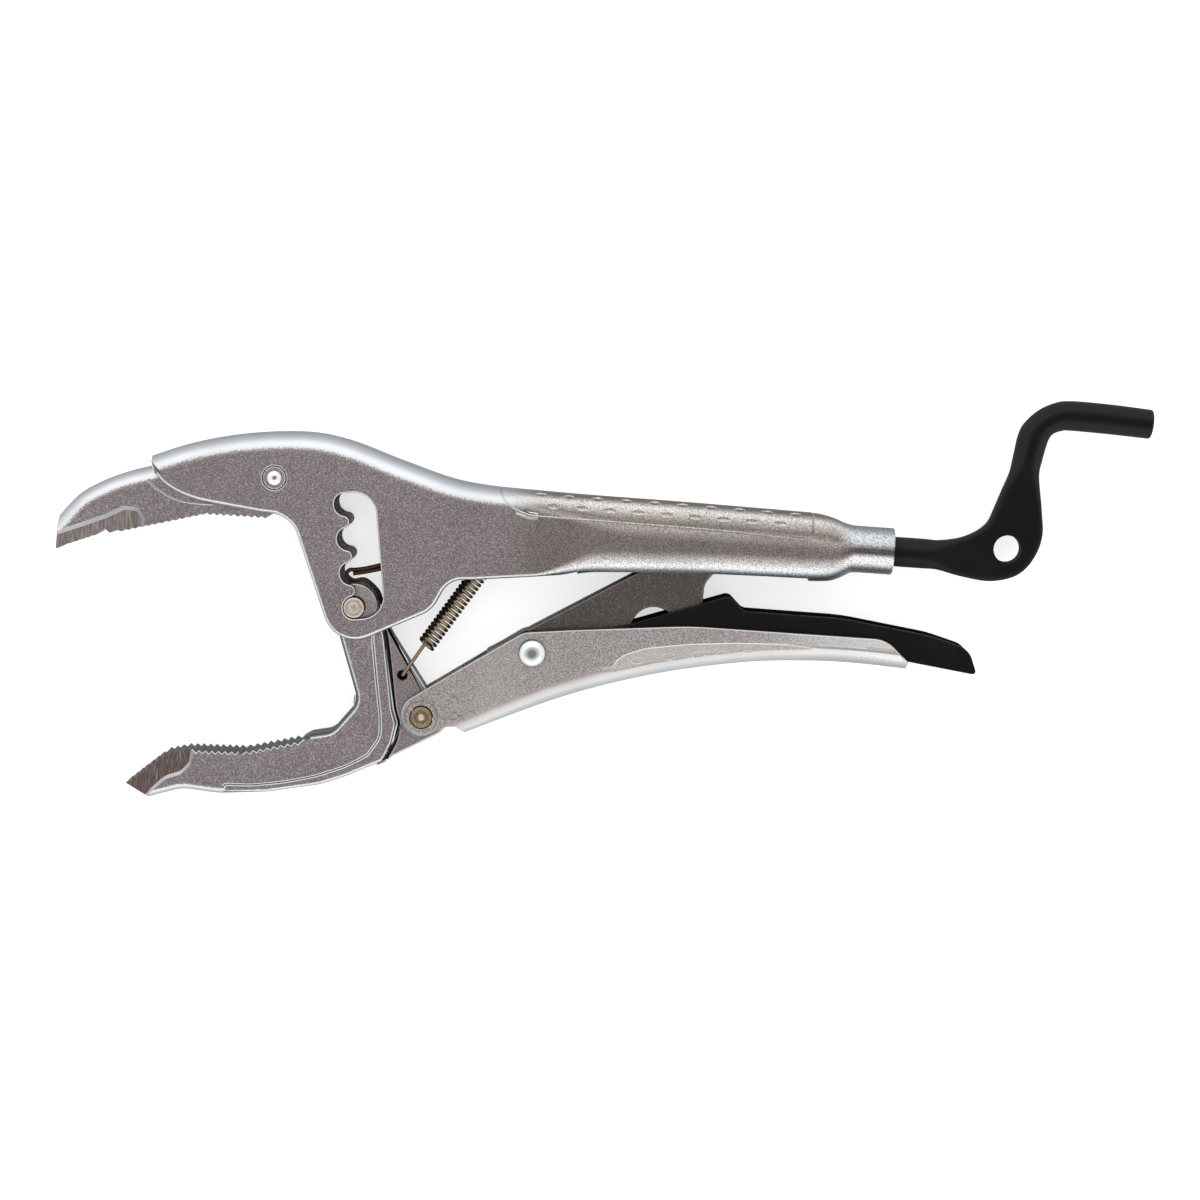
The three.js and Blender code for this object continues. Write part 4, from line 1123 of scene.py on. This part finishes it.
def toggle_link():
    """The toggle link: a thick plate from the domed rivet to the screw's tip, with one hole."""
    half = 5
    outline = [
        (120.5, 3.3, 4.4), (112.3, 3.3, 3.5), (107, -3.4, 6), (90.4, -13.0, 10), (43.5, -41.8, 1.2),
        (45.5, -46.5, 3), (59, -47.3), (63, -46.2), (75, -39.5, 6), (89, -33.6), (103, -31.2),
        (113.4, -31.2, 1), (113.9, -14.5, 5), (120.5, -5.9, 3),
    ]
    hub = turned([(0, -half), (7, -half), (7, half), (0, half)], LINK_PIVOT)
    bm = combined(plate(outline, -half, half), hub, "UNION")
    bm = cut(bm, drill((98.2, -30.4), 7.2), drill(LINK_PIVOT, LINK_RIVET_HOLE))
    bevel(bm, steep(60, lambda middle: abs(middle.z) > half - 0.1), 0.55, 3)
    return bm


def release_lever():
    """The release lever: a thin channel inside the handle, whose end reaches out behind it."""
    half = 6.8
    underside = [(x, y + 2.7) for x, y in BOTTOM_LINE if 76 < x < 182]
    floor = [(x, y + LEVER_SHEET) for x, y in underside]
    tip = (205.2, -38.3)
    outline = [
        (88.6, -29.8, 20), (122.3, -17.7, 2.4), (127.2, -22.4, 3), (160, -22.6, 60), (189, -26.4, 30),
        (201.8, -29.9, 6), (*tip, 1.2), *reversed(underside), (66, -46.2, 4), (57, -46, 2), (54, -37.5),
        (60, -34.4, 2), (70, -34.2, 20),
    ]
    bm = plate(outline, -half, half)
    bevel(bm, along([*underside, tip]), 1.2, 3)
    bm = combined(bm, turned([(0, -half), (6, -half), (6, half), (0, half)], LINK_PIVOT), "UNION")
    room = [
        (60, -52), (floor[0][0], -52), *floor, (205, floor[-1][1] - 0.4), (230, 0), (40, 0), (40, -52),
    ]
    cavity = plate(room, LEVER_SHEET - half, half - LEVER_SHEET)
    bm = cut(bm, cavity, drill(LINK_PIVOT, LINK_RIVET_HOLE))
    bevel(bm, steep(50, lambda middle: abs(middle.z) > half - 0.1), 0.45, 3)
    return bm


# ---- Crank and screw ----------------------------------------------------------------------------

CRANK_EDGES = [  # left edge, right edge, half thickness, squareness
    ((178, 4.9), (178, -4.9), 4.9, 2.0), ((185, 4.88), (185, -4.92), 4.7, 2.0),
    ((190, 4.8), (190, -5), 4.0, 2.6), ((196.5, 6.0), (198.5, -6.7), 3.1, 5.0),
    ((201.5, 8.3), (207.8, -7.5), 3.0, 6.0), ((204.5, 10.8), (216.2, -5), 3.0, 6.0),
    ((205.9, 13), (221.2, 0.7), 3.0, 6.0), ((207.3, 17), (223.5, 8.3), 3.0, 6.0),
    ((209.3, 23), (222.6, 17), 3.2, 5.0), ((211.1, 28.5), (220.9, 27.8), 3.9, 2.8),
    ((212, 35), (221.6, 33.5), 4.7, 2.0), ((212.9, 41), (222.7, 38.9), 4.8, 2.0),
    ((214.6, 45), (223.6, 41.2), 4.8, 2.0), ((218.7, 49.3), (224.9, 42.4), 4.8, 2.0),
    ((223.5, 52.0), (227, 43.2), 4.85, 2.0), ((229, 53.2), (229.5, 43.5), 4.9, 2.0),
    ((242, 53.0), (242, 43.2), 4.9, 2.0), ((255.6, 52.2), (255.2, 42.6), 4.9, 2.0),
]
SCREW_TIP = 126.2
SCREW_PITCH = 1.5
SCREW_RADIUS = 4.9
THREAD_DEPTH = 0.75


def power(value, squareness):
    """One side of a circle's point, drawn out towards a square as the squareness grows from 2."""
    return math.copysign(abs(value) ** (2 / squareness), value)


def crank():
    """The crank: a bar that flattens to an eye, turns up and ends in a grip bar."""
    steps, sides = 7, 40
    turns = [2 * math.pi * (k + 0.5) / sides for k in range(sides)]
    lefts = smooth([left for left, *_ in CRANK_EDGES], steps)
    rights = smooth([right for _, right, *_ in CRANK_EDGES], steps)
    shapes = smooth([(depth, square) for *_, depth, square in CRANK_EDGES], steps)
    rings = []
    for left, right, shape in zip(lefts, rights, shapes):
        middle, reach, depth = (left + right) / 2, (left - right) / 2, Vector((0, 0, shape.x))
        rings.append([
            middle + reach * power(math.cos(turn), shape.y) + depth * power(math.sin(turn), shape.y)
            for turn in turns
        ])
    last = rings[-1]
    centre = sum(last, Vector()) / len(last)
    outwards = Vector((1, -0.05, 0)).normalized()
    for out, scale in ((0.35, 0.985), (0.65, 0.94), (0.8, 0.86)):
        rings.append([centre + (point - centre) * scale + outwards * out for point in last])
    hole = [
        (0, -CLEAR), (5.1, -CLEAR), (5.1, -3.3), (4.5, -2.6), (4.5, 2.6), (5.1, 3.3), (5.1, CLEAR),
        (0, CLEAR),
    ]
    return cut(loft(rings), turned(hole, CRANK_HOLE))


def screw_shaft():
    """The screw: its thread, the neck before the crank, a socket for the cap and the ring's groove."""
    sides, steps = 28, 5  # points round the thread, and rings for each of its turns
    turns = [2 * math.pi * side / sides for side in range(sides)]
    rings = []
    for k in range(int((168 - SCREW_TIP) / SCREW_PITCH * steps)):
        x = SCREW_TIP + k * SCREW_PITCH / steps
        lead = 0.6 * max(0, 1 - (x - SCREW_TIP) / 1.0)
        ring = []
        for side, turn in enumerate(turns):
            phase = (x / SCREW_PITCH - side / sides) % 1
            crest = THREAD_DEPTH * abs(2 * phase - 1) * min(1, (x - SCREW_TIP) / 1.5)
            radius = SCREW_RADIUS - THREAD_DEPTH + crest - lead
            ring.append(Vector((x, radius * math.cos(turn), radius * math.sin(turn))))
        rings.append(ring)
    for x, radius in ((168.6, 4.4), (169.2, 4.88), (178, 4.9), (178.2, 4.8)):
        rings.append([Vector((x, radius * math.cos(turn), radius * math.sin(turn))) for turn in turns])
    socket = turned([(0, -5), (2.3, -5), (2.3, 3), (0, 3.8)], (125.9, 0), "X")
    groove = turned([(4.0, 129.9), (7, 129.9), (7, 131.5), (4.0, 131.5), (4.0, 129.9)], (0, 0), "X")
    return cut(loft(rings), socket, groove)


def crank_screw():
    """The screw and its crank, which are one piece."""
    return together(screw_shaft(), crank())


# ---- Wires --------------------------------------------------------------------------------------

def jaw_spring(turns, wire):
    """The tension spring, from its hook in the jaw's web to its hook round the anchor pin."""
    bottom, top = Vector((23.9, -41.3, 0)), Vector((42.2, -12.7, 0))
    axis = top - bottom
    side = Vector((axis.y, -axis.x, 0)).normalized()
    radius = 2.6

    def coil(share):
        angle = 2 * math.pi * turns * share
        rise = Vector((0, 0, radius * math.sin(angle)))
        return bottom + axis * share + side * radius * math.cos(angle) + rise

    hole, pin = SPRING_HOLE, SPRING_ANCHOR
    lower = [
        (hole.x, hole.y, 0.5), (hole.x + 0.1, hole.y + 0.1, 3.6), (hole.x + 1.3, hole.y + 1.9, 4.3),
        (hole.x + 6.3, hole.y + 10.1, 3.4), (hole.x + 7.6, hole.y + 10.9, 2.6), coil(0),
    ]
    upper = [
        coil(1), (pin.x + 2.4, pin.y - 0.8, 1.2), (pin.x + 1.92, pin.y + 1.68, 0.2),
        (pin.x - 0.6, pin.y + 2.4, -0.6),
    ]
    steps = turns * 18
    route = [*smooth(lower, 8)[:-1], *(coil(k / steps) for k in range(steps)), *smooth(upper, 8)]
    return tube(route, wire, 8)


def keeper_wire(radius):
    """The hairpin that keeps the pivot pin in its notch: up the arm, across the slot and back."""
    bends = [
        (12.2, -34.4, 0.5), (10.6, -31, 2), (8.9, -28.1, 3.4), (7.2, -24, 4.6), (3, -20.6, 5),
        (-0.8, -21.1, 5), (-3.2, -19.4, 5), (-2.4, -17.8, 4.8), (-0.6, -17.6, 4.6), (3, -16.9, 4.4),
        (9, -15.2, 4), (9.8, -15.7, 4), (9.2, -16.4, 4), (3, -18.15, 4.2), (-1.2, -19, 4.2),
    ]
    return tube(smooth(bends, 6), radius, 10)


# ---- Pins, rivets and rings ---------------------------------------------------------------------
# Each profile is a row of (radius, height) pairs, from the middle of its upper end outwards.

JAW_RIVET_END = [
    (0, 8.6), (0.6, 8.62), (1.3, 8.85), (1.9, 9.25), (2.15, 9.4), (2.4, 9.45), (3.3, 9.45), (3.65, 9.35),
    (3.85, 9.05), (3.85, 8.6), (3.0, 8.6),
]
ANCHOR_PIN_END = [(0, 6.7), (1.1, 6.7), (1.5, 6.3)]
PIVOT_PIN_END = [(0, 9.05), (1.3, 9.05), (1.7, 9.2), (2.9, 9.3), (3.3, 9.1), (3.4, 8.8)]
FRONT_RIVET_END = [
    (0, 6.62), (0.45, 6.6), (0.8, 6.4), (1.1, 6.2), (1.7, 6.12), (2.4, 6.2), (2.9, 6.45), (3.2, 6.5),
    (3.45, 6.35), (3.6, 6.0),
]
LINK_RIVET_SHANK = [(4.5, 9.8), (3.3, 9.75), (3.3, -9.2), (3.0, -9.4), (0, -9.4)]
THRUST_CAP = [
    (0, 122.9), (3.4, 122.9), (4.4, 123.2), (4.9, 123.9), (4.9, 125.6), (4.6, 125.9), (2, 125.9),
    (2, 128.1), (1.7, 128.4), (0, 128.4),
]
STOP_RING = [
    (4.3, 130.2), (5.4, 130.2), (5.6, 130.4), (5.6, 131.0), (5.4, 131.2), (4.3, 131.2), (4.3, 130.2),
]


def both_ends(profile):
    """The profile of one end of a pin, and its mirror image as the other end."""
    return [*profile, *((radius, -height) for radius, height in reversed(profile))]


def link_rivet():
    """The rivet with a domed head on the near side."""
    radius, rim, rise, steps = 4.6, 9.85, 2.35, 12
    turns = [math.pi / 2 * k / steps for k in range(1, steps + 1)]
    dome = [(radius * math.sin(turn), rim + rise * math.cos(turn)) for turn in turns]
    return turned([(0, rim + rise), *dome, *LINK_RIVET_SHANK], LINK_PIVOT)


def washer(low, high):
    """A washer between the arm of the lower jaw and a wall of the body."""
    bore, edge, outer = PIVOT_HOLE, 7.3, 7.6
    ring = [
        (bore, low), (bore, high), (edge, high), (outer, high - 0.2), (outer, low + 0.2), (edge, low),
        (bore, low),
    ]
    return turned(ring, PIVOT)


# ---- Stage --------------------------------------------------------------------------------------

PAPER_GLOW = 0.62  # light that only the camera sees, which makes the paper white
SKY_STRENGTH = 0.76  # light on the tool; the camera and the reflections see a white sky
SOFTBOXES = (  # name, place and size in metres, watts
    ("key_softbox", (-0.25, 0.95, 0.85), (2.2, 1.2), 3.4),
    ("fill_softbox", (0.2, -0.9, 0.8), (1.8, 1.0), 2.0),
)
VIEW_CENTRE = Vector((80.1, -22.6, 0))
VIEW_PLACE = Vector((73.6, 72.1, 900))
VIEW_LEAN = math.radians(3.92)  # how far the tool lies turned in the view
VIEW_WIDTH = 0.3954  # metres across the view at the tool
SENSOR_WIDTH = 36


def pale_floor():
    """A sheet of white paper that shows the tool's shadow."""
    bm = bmesh.new()
    bmesh.ops.create_grid(bm, x_segments=1, y_segments=1, size=3)
    floor = as_object(bm, "floor")
    material, tree = new_material("pale_paper")
    camera_ray = add(tree, "ShaderNodeLightPath").outputs["Is Camera Ray"]
    paper = add(tree, "ShaderNodeBsdfDiffuse", {"Color": linear("f4f4f4")}).outputs[0]
    glow = add(tree, "ShaderNodeEmission", {"Color": (1, 1, 1, 1), "Strength": PAPER_GLOW}).outputs[0]
    lit = add(tree, "ShaderNodeAddShader", {0: paper, 1: glow}).outputs[0]
    mix = add(tree, "ShaderNodeMixShader", {0: camera_ray, 1: paper, 2: lit})
    add(tree, "ShaderNodeOutputMaterial", {"Surface": mix.outputs[0]})
    floor.data.materials.append(material)


def studio_sky():
    """An even sky, white to the camera and in reflections, and a little weaker as a light."""
    world = bpy.data.worlds.new("studio")
    world.use_nodes = True
    tree = world.node_tree
    tree.nodes.clear()
    rays = add(tree, "ShaderNodeLightPath")
    seen = rays.outputs["Is Camera Ray"]
    for kind in ("Is Glossy Ray", "Is Transmission Ray"):
        seen = add(
            tree, "ShaderNodeMath", {0: seen, 1: rays.outputs[kind]}, operation="MAXIMUM",
        ).outputs[0]
    strength = add(tree, "ShaderNodeMapRange", {"Value": seen, "To Min": SKY_STRENGTH, "To Max": 1.0})
    sky = add(tree, "ShaderNodeBackground", {"Color": (1, 1, 1, 1), "Strength": strength.outputs[0]})
    add(tree, "ShaderNodeOutputWorld", {"Surface": sky.outputs[0]})
    bpy.context.scene.world = world


def softbox(name, spot, size, watts):
    """A large soft lamp that points at the tool."""
    light = bpy.data.lights.new(name, "AREA")
    light.shape = "RECTANGLE"
    light.size, light.size_y = size
    light.energy = watts
    lamp = bpy.data.objects.new(name, light)
    facing = Vector(spot).to_track_quat("Z", "Y").to_matrix().to_4x4()
    lamp.matrix_world = Matrix.Translation(spot) @ facing
    bpy.context.scene.collection.objects.link(lamp)


def camera_above():
    """The camera that looks down on the tool's near side, a little from its back."""
    right = Vector((math.cos(VIEW_LEAN), math.sin(VIEW_LEAN), 0))
    target, eye = DRAWING @ VIEW_CENTRE, DRAWING @ VIEW_PLACE
    back = (eye - target).normalized()
    up = back.cross(right)
    data = bpy.data.cameras.new("camera")
    data.sensor_width = SENSOR_WIDTH
    data.lens = SENSOR_WIDTH / VIEW_WIDTH * (eye - target).length
    camera = bpy.data.objects.new("camera", data)
    camera.matrix_world = Matrix.Translation(eye) @ Matrix((right, up, back)).transposed().to_4x4()
    bpy.context.scene.collection.objects.link(camera)
    bpy.context.scene.camera = camera


# ---- Sizes and colours --------------------------------------------------------------------------

def length(name, description, size):
    """A property that holds a length, given in millimetres."""
    return bpy.props.FloatProperty(
        name=name, description=description, default=size / 1000, min=0.0001, precision=5,
        subtype="DISTANCE", unit="LENGTH",
    )


def tone_of(name, description, hex_colour):
    """A property that holds the colour of a finish."""
    return bpy.props.FloatVectorProperty(
        name=name, description=description, default=linear(hex_colour)[:3], size=3, min=0, max=1,
        subtype="COLOR",
    )


class PliersSizes(bpy.types.PropertyGroup):
    """Sizes that may be changed before the pieces are built."""

    edge_radius: length("Body Edge", "Rounding along the open edges of the body's sides", 1.3)
    upper_teeth: length("Upper Teeth", "Depth of the teeth of the upper jaw", 0.7)
    lower_teeth: length("Lower Teeth", "Depth of the teeth of the lower jaw", 1.0)
    spring_wire: length("Spring Wire", "Radius of the wire of the jaw spring", 0.6)
    keeper_wire: length("Keeper Wire", "Radius of the wire that holds the pivot pin in its notch", 0.66)
    spring_turns: bpy.props.IntProperty(
        name="Spring Turns", description="Number of turns of the jaw spring", default=22, min=4, max=60,
    )


class PliersColours(bpy.types.PropertyGroup):
    """Colours of the finishes, on their flat sides."""

    body: tone_of("Body", "Satin nickel of the body", "7b7274")
    jaw: tone_of("Jaws", "Satin nickel of both jaws", "7f7677")
    handle: tone_of("Handle", "Satin nickel of the lower handle", "9a9492")
    panel: tone_of("Panel", "Smooth panel of the lower handle", "b5b0ad")
    link: tone_of("Link", "Gunmetal of the toggle link", "48413f")
    lever: tone_of("Lever", "Paint of the release lever", "0b0a0a")
    crank: tone_of("Crank", "Black oxide of the crank and screw", "0c0c0c")
    pins: tone_of("Pins", "Plain steel of the pivot pin, the anchor pin and the thrust cap", "9a8d81")
    front_rivet: tone_of("Front Rivet", "Zinc of the rivet at the handle's front end", "6f6053")


# ---- Operators ----------------------------------------------------------------------------------

class PLIERS_OT_body(bpy.types.Operator):
    """Builds the pressed body with its slot, grip panel and tail"""

    bl_idname = "pliers.body"
    bl_label = "Body"

    def execute(self, context):
        body = body_shell(context.scene.pliers_sizes.edge_radius * 1000)
        place(body, "body_pressing", "body", "pressed_body", ["body", "groove"], "body_shell")
        return {"FINISHED"}


class PLIERS_OT_jaws(bpy.types.Operator):
    """Builds the upper and the lower jaw"""

    bl_idname = "pliers.jaws"
    bl_label = "Jaws"

    def execute(self, context):
        sizes = context.scene.pliers_sizes
        upper, lower = upper_jaw(sizes.upper_teeth * 1000), lower_jaw(sizes.lower_teeth * 1000)
        place(upper, "upper_jaw_forging", "body", "forged_jaw", ["jaw", "upper_nose"], "upper_jaw")
        finishes = ["jaw", "lower_nose", "groove", "jaw_wall"]
        place(lower, "lower_jaw_forging", "jaw", "forged_jaw", finishes, "lower_jaw")
        return {"FINISHED"}


class PLIERS_OT_handle(bpy.types.Operator):
    """Builds the lower handle, the toggle link and the release lever"""

    bl_idname = "pliers.handle"
    bl_label = "Handle, Link and Lever"

    def execute(self, context):
        handle, link, lever = lower_handle(), toggle_link(), release_lever()
        place(handle, "handle_pressing", "handle", "pressed_handle", ["handle", "panel"], "lower_handle")
        place(link, "toggle_link_plate", "link", "toggle_link", ["gunmetal"], "toggle_link")
        place(lever, "release_lever_pressing", "lever", "release_lever", ["lever"], "release_lever")
        return {"FINISHED"}


class PLIERS_OT_pins(bpy.types.Operator):
    """Builds the rivets, the pins and the washers"""

    bl_idname = "pliers.pins"
    bl_label = "Rivets and Pins"

    def execute(self, context):
        jaw_rivet = turned(both_ends(JAW_RIVET_END), JAW_RIVET)
        # Painted reflection: the dimple in the middle of the jaw rivet takes the bright zinc finish.
        paint(jaw_rivet, 1, lambda middle, normal: (middle.to_2d() - JAW_RIVET).length < 2.1)
        place(jaw_rivet, "jaw_rivet", "body", "jaw_rivet", ["jaw", "bright"], "upper_jaw_rivet")
        anchor = turned(both_ends(ANCHOR_PIN_END), SPRING_ANCHOR)
        place(anchor, "anchor_pin", "body", "pale_pin", ["pin"], "spring_anchor_pin")
        pin = turned(both_ends(PIVOT_PIN_END), PIVOT)
        place(pin, "pivot_pin", "pivot_pin", "pale_pin", ["pin"], "jaw_pivot_pin")
        near, far = washer(STEP_HALF, JAW_HALF), washer(-JAW_HALF, -STEP_HALF)
        place(near, "washer_near", "pivot_pin", "washer", ["washer"], "pivot_washer_near")
        place(far, "washer_far", "pivot_pin", "washer", ["washer"], "pivot_washer_far")
        front_rivet = turned(both_ends(FRONT_RIVET_END), FRONT_PIVOT)
        # Painted highlight: a small spot in the middle of the front rivet takes the paler steel of the
        # pins.
        paint(front_rivet, 1, lambda middle, normal: (middle.to_2d() - FRONT_PIVOT).length < 0.7)
        place(front_rivet, "front_rivet_pin", "jaw", "front_rivet", ["brassy", "pin"], "front_rivet")
        place(link_rivet(), "dome_rivet", "handle", "dome_rivet", ["bright"], "link_rivet")
        return {"FINISHED"}


class PLIERS_OT_screw(bpy.types.Operator):
    """Builds the adjusting screw with its crank, the thrust cap and the stop ring"""

    bl_idname = "pliers.screw"
    bl_label = "Screw and Crank"

    def execute(self, context):
        place(crank_screw(), "crank_and_screw", "screw", "crank", ["crank"], "crank_screw")
        cap, ring = turned(THRUST_CAP, (0, 0), "X"), turned(STOP_RING, (0, 0), "X")
        place(cap, "thrust_cap_turned", "thrust_cap", "pale_pin", ["pin"], "thrust_cap")
        place(ring, "stop_ring", "screw", "spring_wire", ["spring"], "screw_stop_ring")
        return {"FINISHED"}


class PLIERS_OT_wires(bpy.types.Operator):
    """Builds the jaw spring and the keeper wire"""

    bl_idname = "pliers.wires"
    bl_label = "Springs"

    def execute(self, context):
        sizes = context.scene.pliers_sizes
        spring = jaw_spring(sizes.spring_turns, sizes.spring_wire * 1000)
        place(spring, "jaw_tension_spring", "body", "spring_wire", ["spring"], "jaw_spring")
        keeper = keeper_wire(sizes.keeper_wire * 1000)
        place(keeper, "pivot_keeper_wire", "jaw", "keeper_wire", ["keeper"], "keeper_wire")
        return {"FINISHED"}


class PLIERS_OT_stage(bpy.types.Operator):
    """Sets up the floor, the lights and the camera"""

    bl_idname = "pliers.stage"
    bl_label = "Stage"

    def execute(self, context):
        context.scene.view_settings.view_transform = "Standard"
        pale_floor()
        studio_sky()
        for name, spot, size, watts in SOFTBOXES:
            softbox(name, spot, size, watts)
        camera_above()
        return {"FINISHED"}


GROUPS = (PliersSizes, PliersColours)
OPERATORS = (
    PLIERS_OT_body, PLIERS_OT_jaws, PLIERS_OT_handle, PLIERS_OT_pins, PLIERS_OT_screw,
    PLIERS_OT_wires, PLIERS_OT_stage,
)


class PLIERS_PT_panel(bpy.types.Panel):
    """Sizes, colours and a button for each group of pieces"""

    bl_idname = "PLIERS_PT_panel"
    bl_label = "Locking Pliers"
    bl_space_type = "VIEW_3D"
    bl_region_type = "UI"
    bl_category = "Pliers"

    def draw(self, context):
        for settings in (context.scene.pliers_sizes, context.scene.pliers_colours):
            box = self.layout.box()
            for key in settings.__annotations__:
                box.prop(settings, key)
        for operator in OPERATORS:
            self.layout.operator(operator.bl_idname)


def register():
    """Adds the groups, the operators and the panel."""
    for cls in (*GROUPS, *OPERATORS, PLIERS_PT_panel):
        bpy.utils.register_class(cls)
    bpy.types.Scene.pliers_sizes = bpy.props.PointerProperty(type=PliersSizes)
    bpy.types.Scene.pliers_colours = bpy.props.PointerProperty(type=PliersColours)


def unregister():
    """Takes away what register added."""
    del bpy.types.Scene.pliers_colours
    del bpy.types.Scene.pliers_sizes
    for cls in reversed((*GROUPS, *OPERATORS, PLIERS_PT_panel)):
        bpy.utils.unregister_class(cls)


def main():
    """Builds every piece and the stage."""
    register()
    for operator in OPERATORS:
        getattr(bpy.ops.pliers, operator.bl_idname.split(".")[1])()


if __name__ == "__main__":
    main()
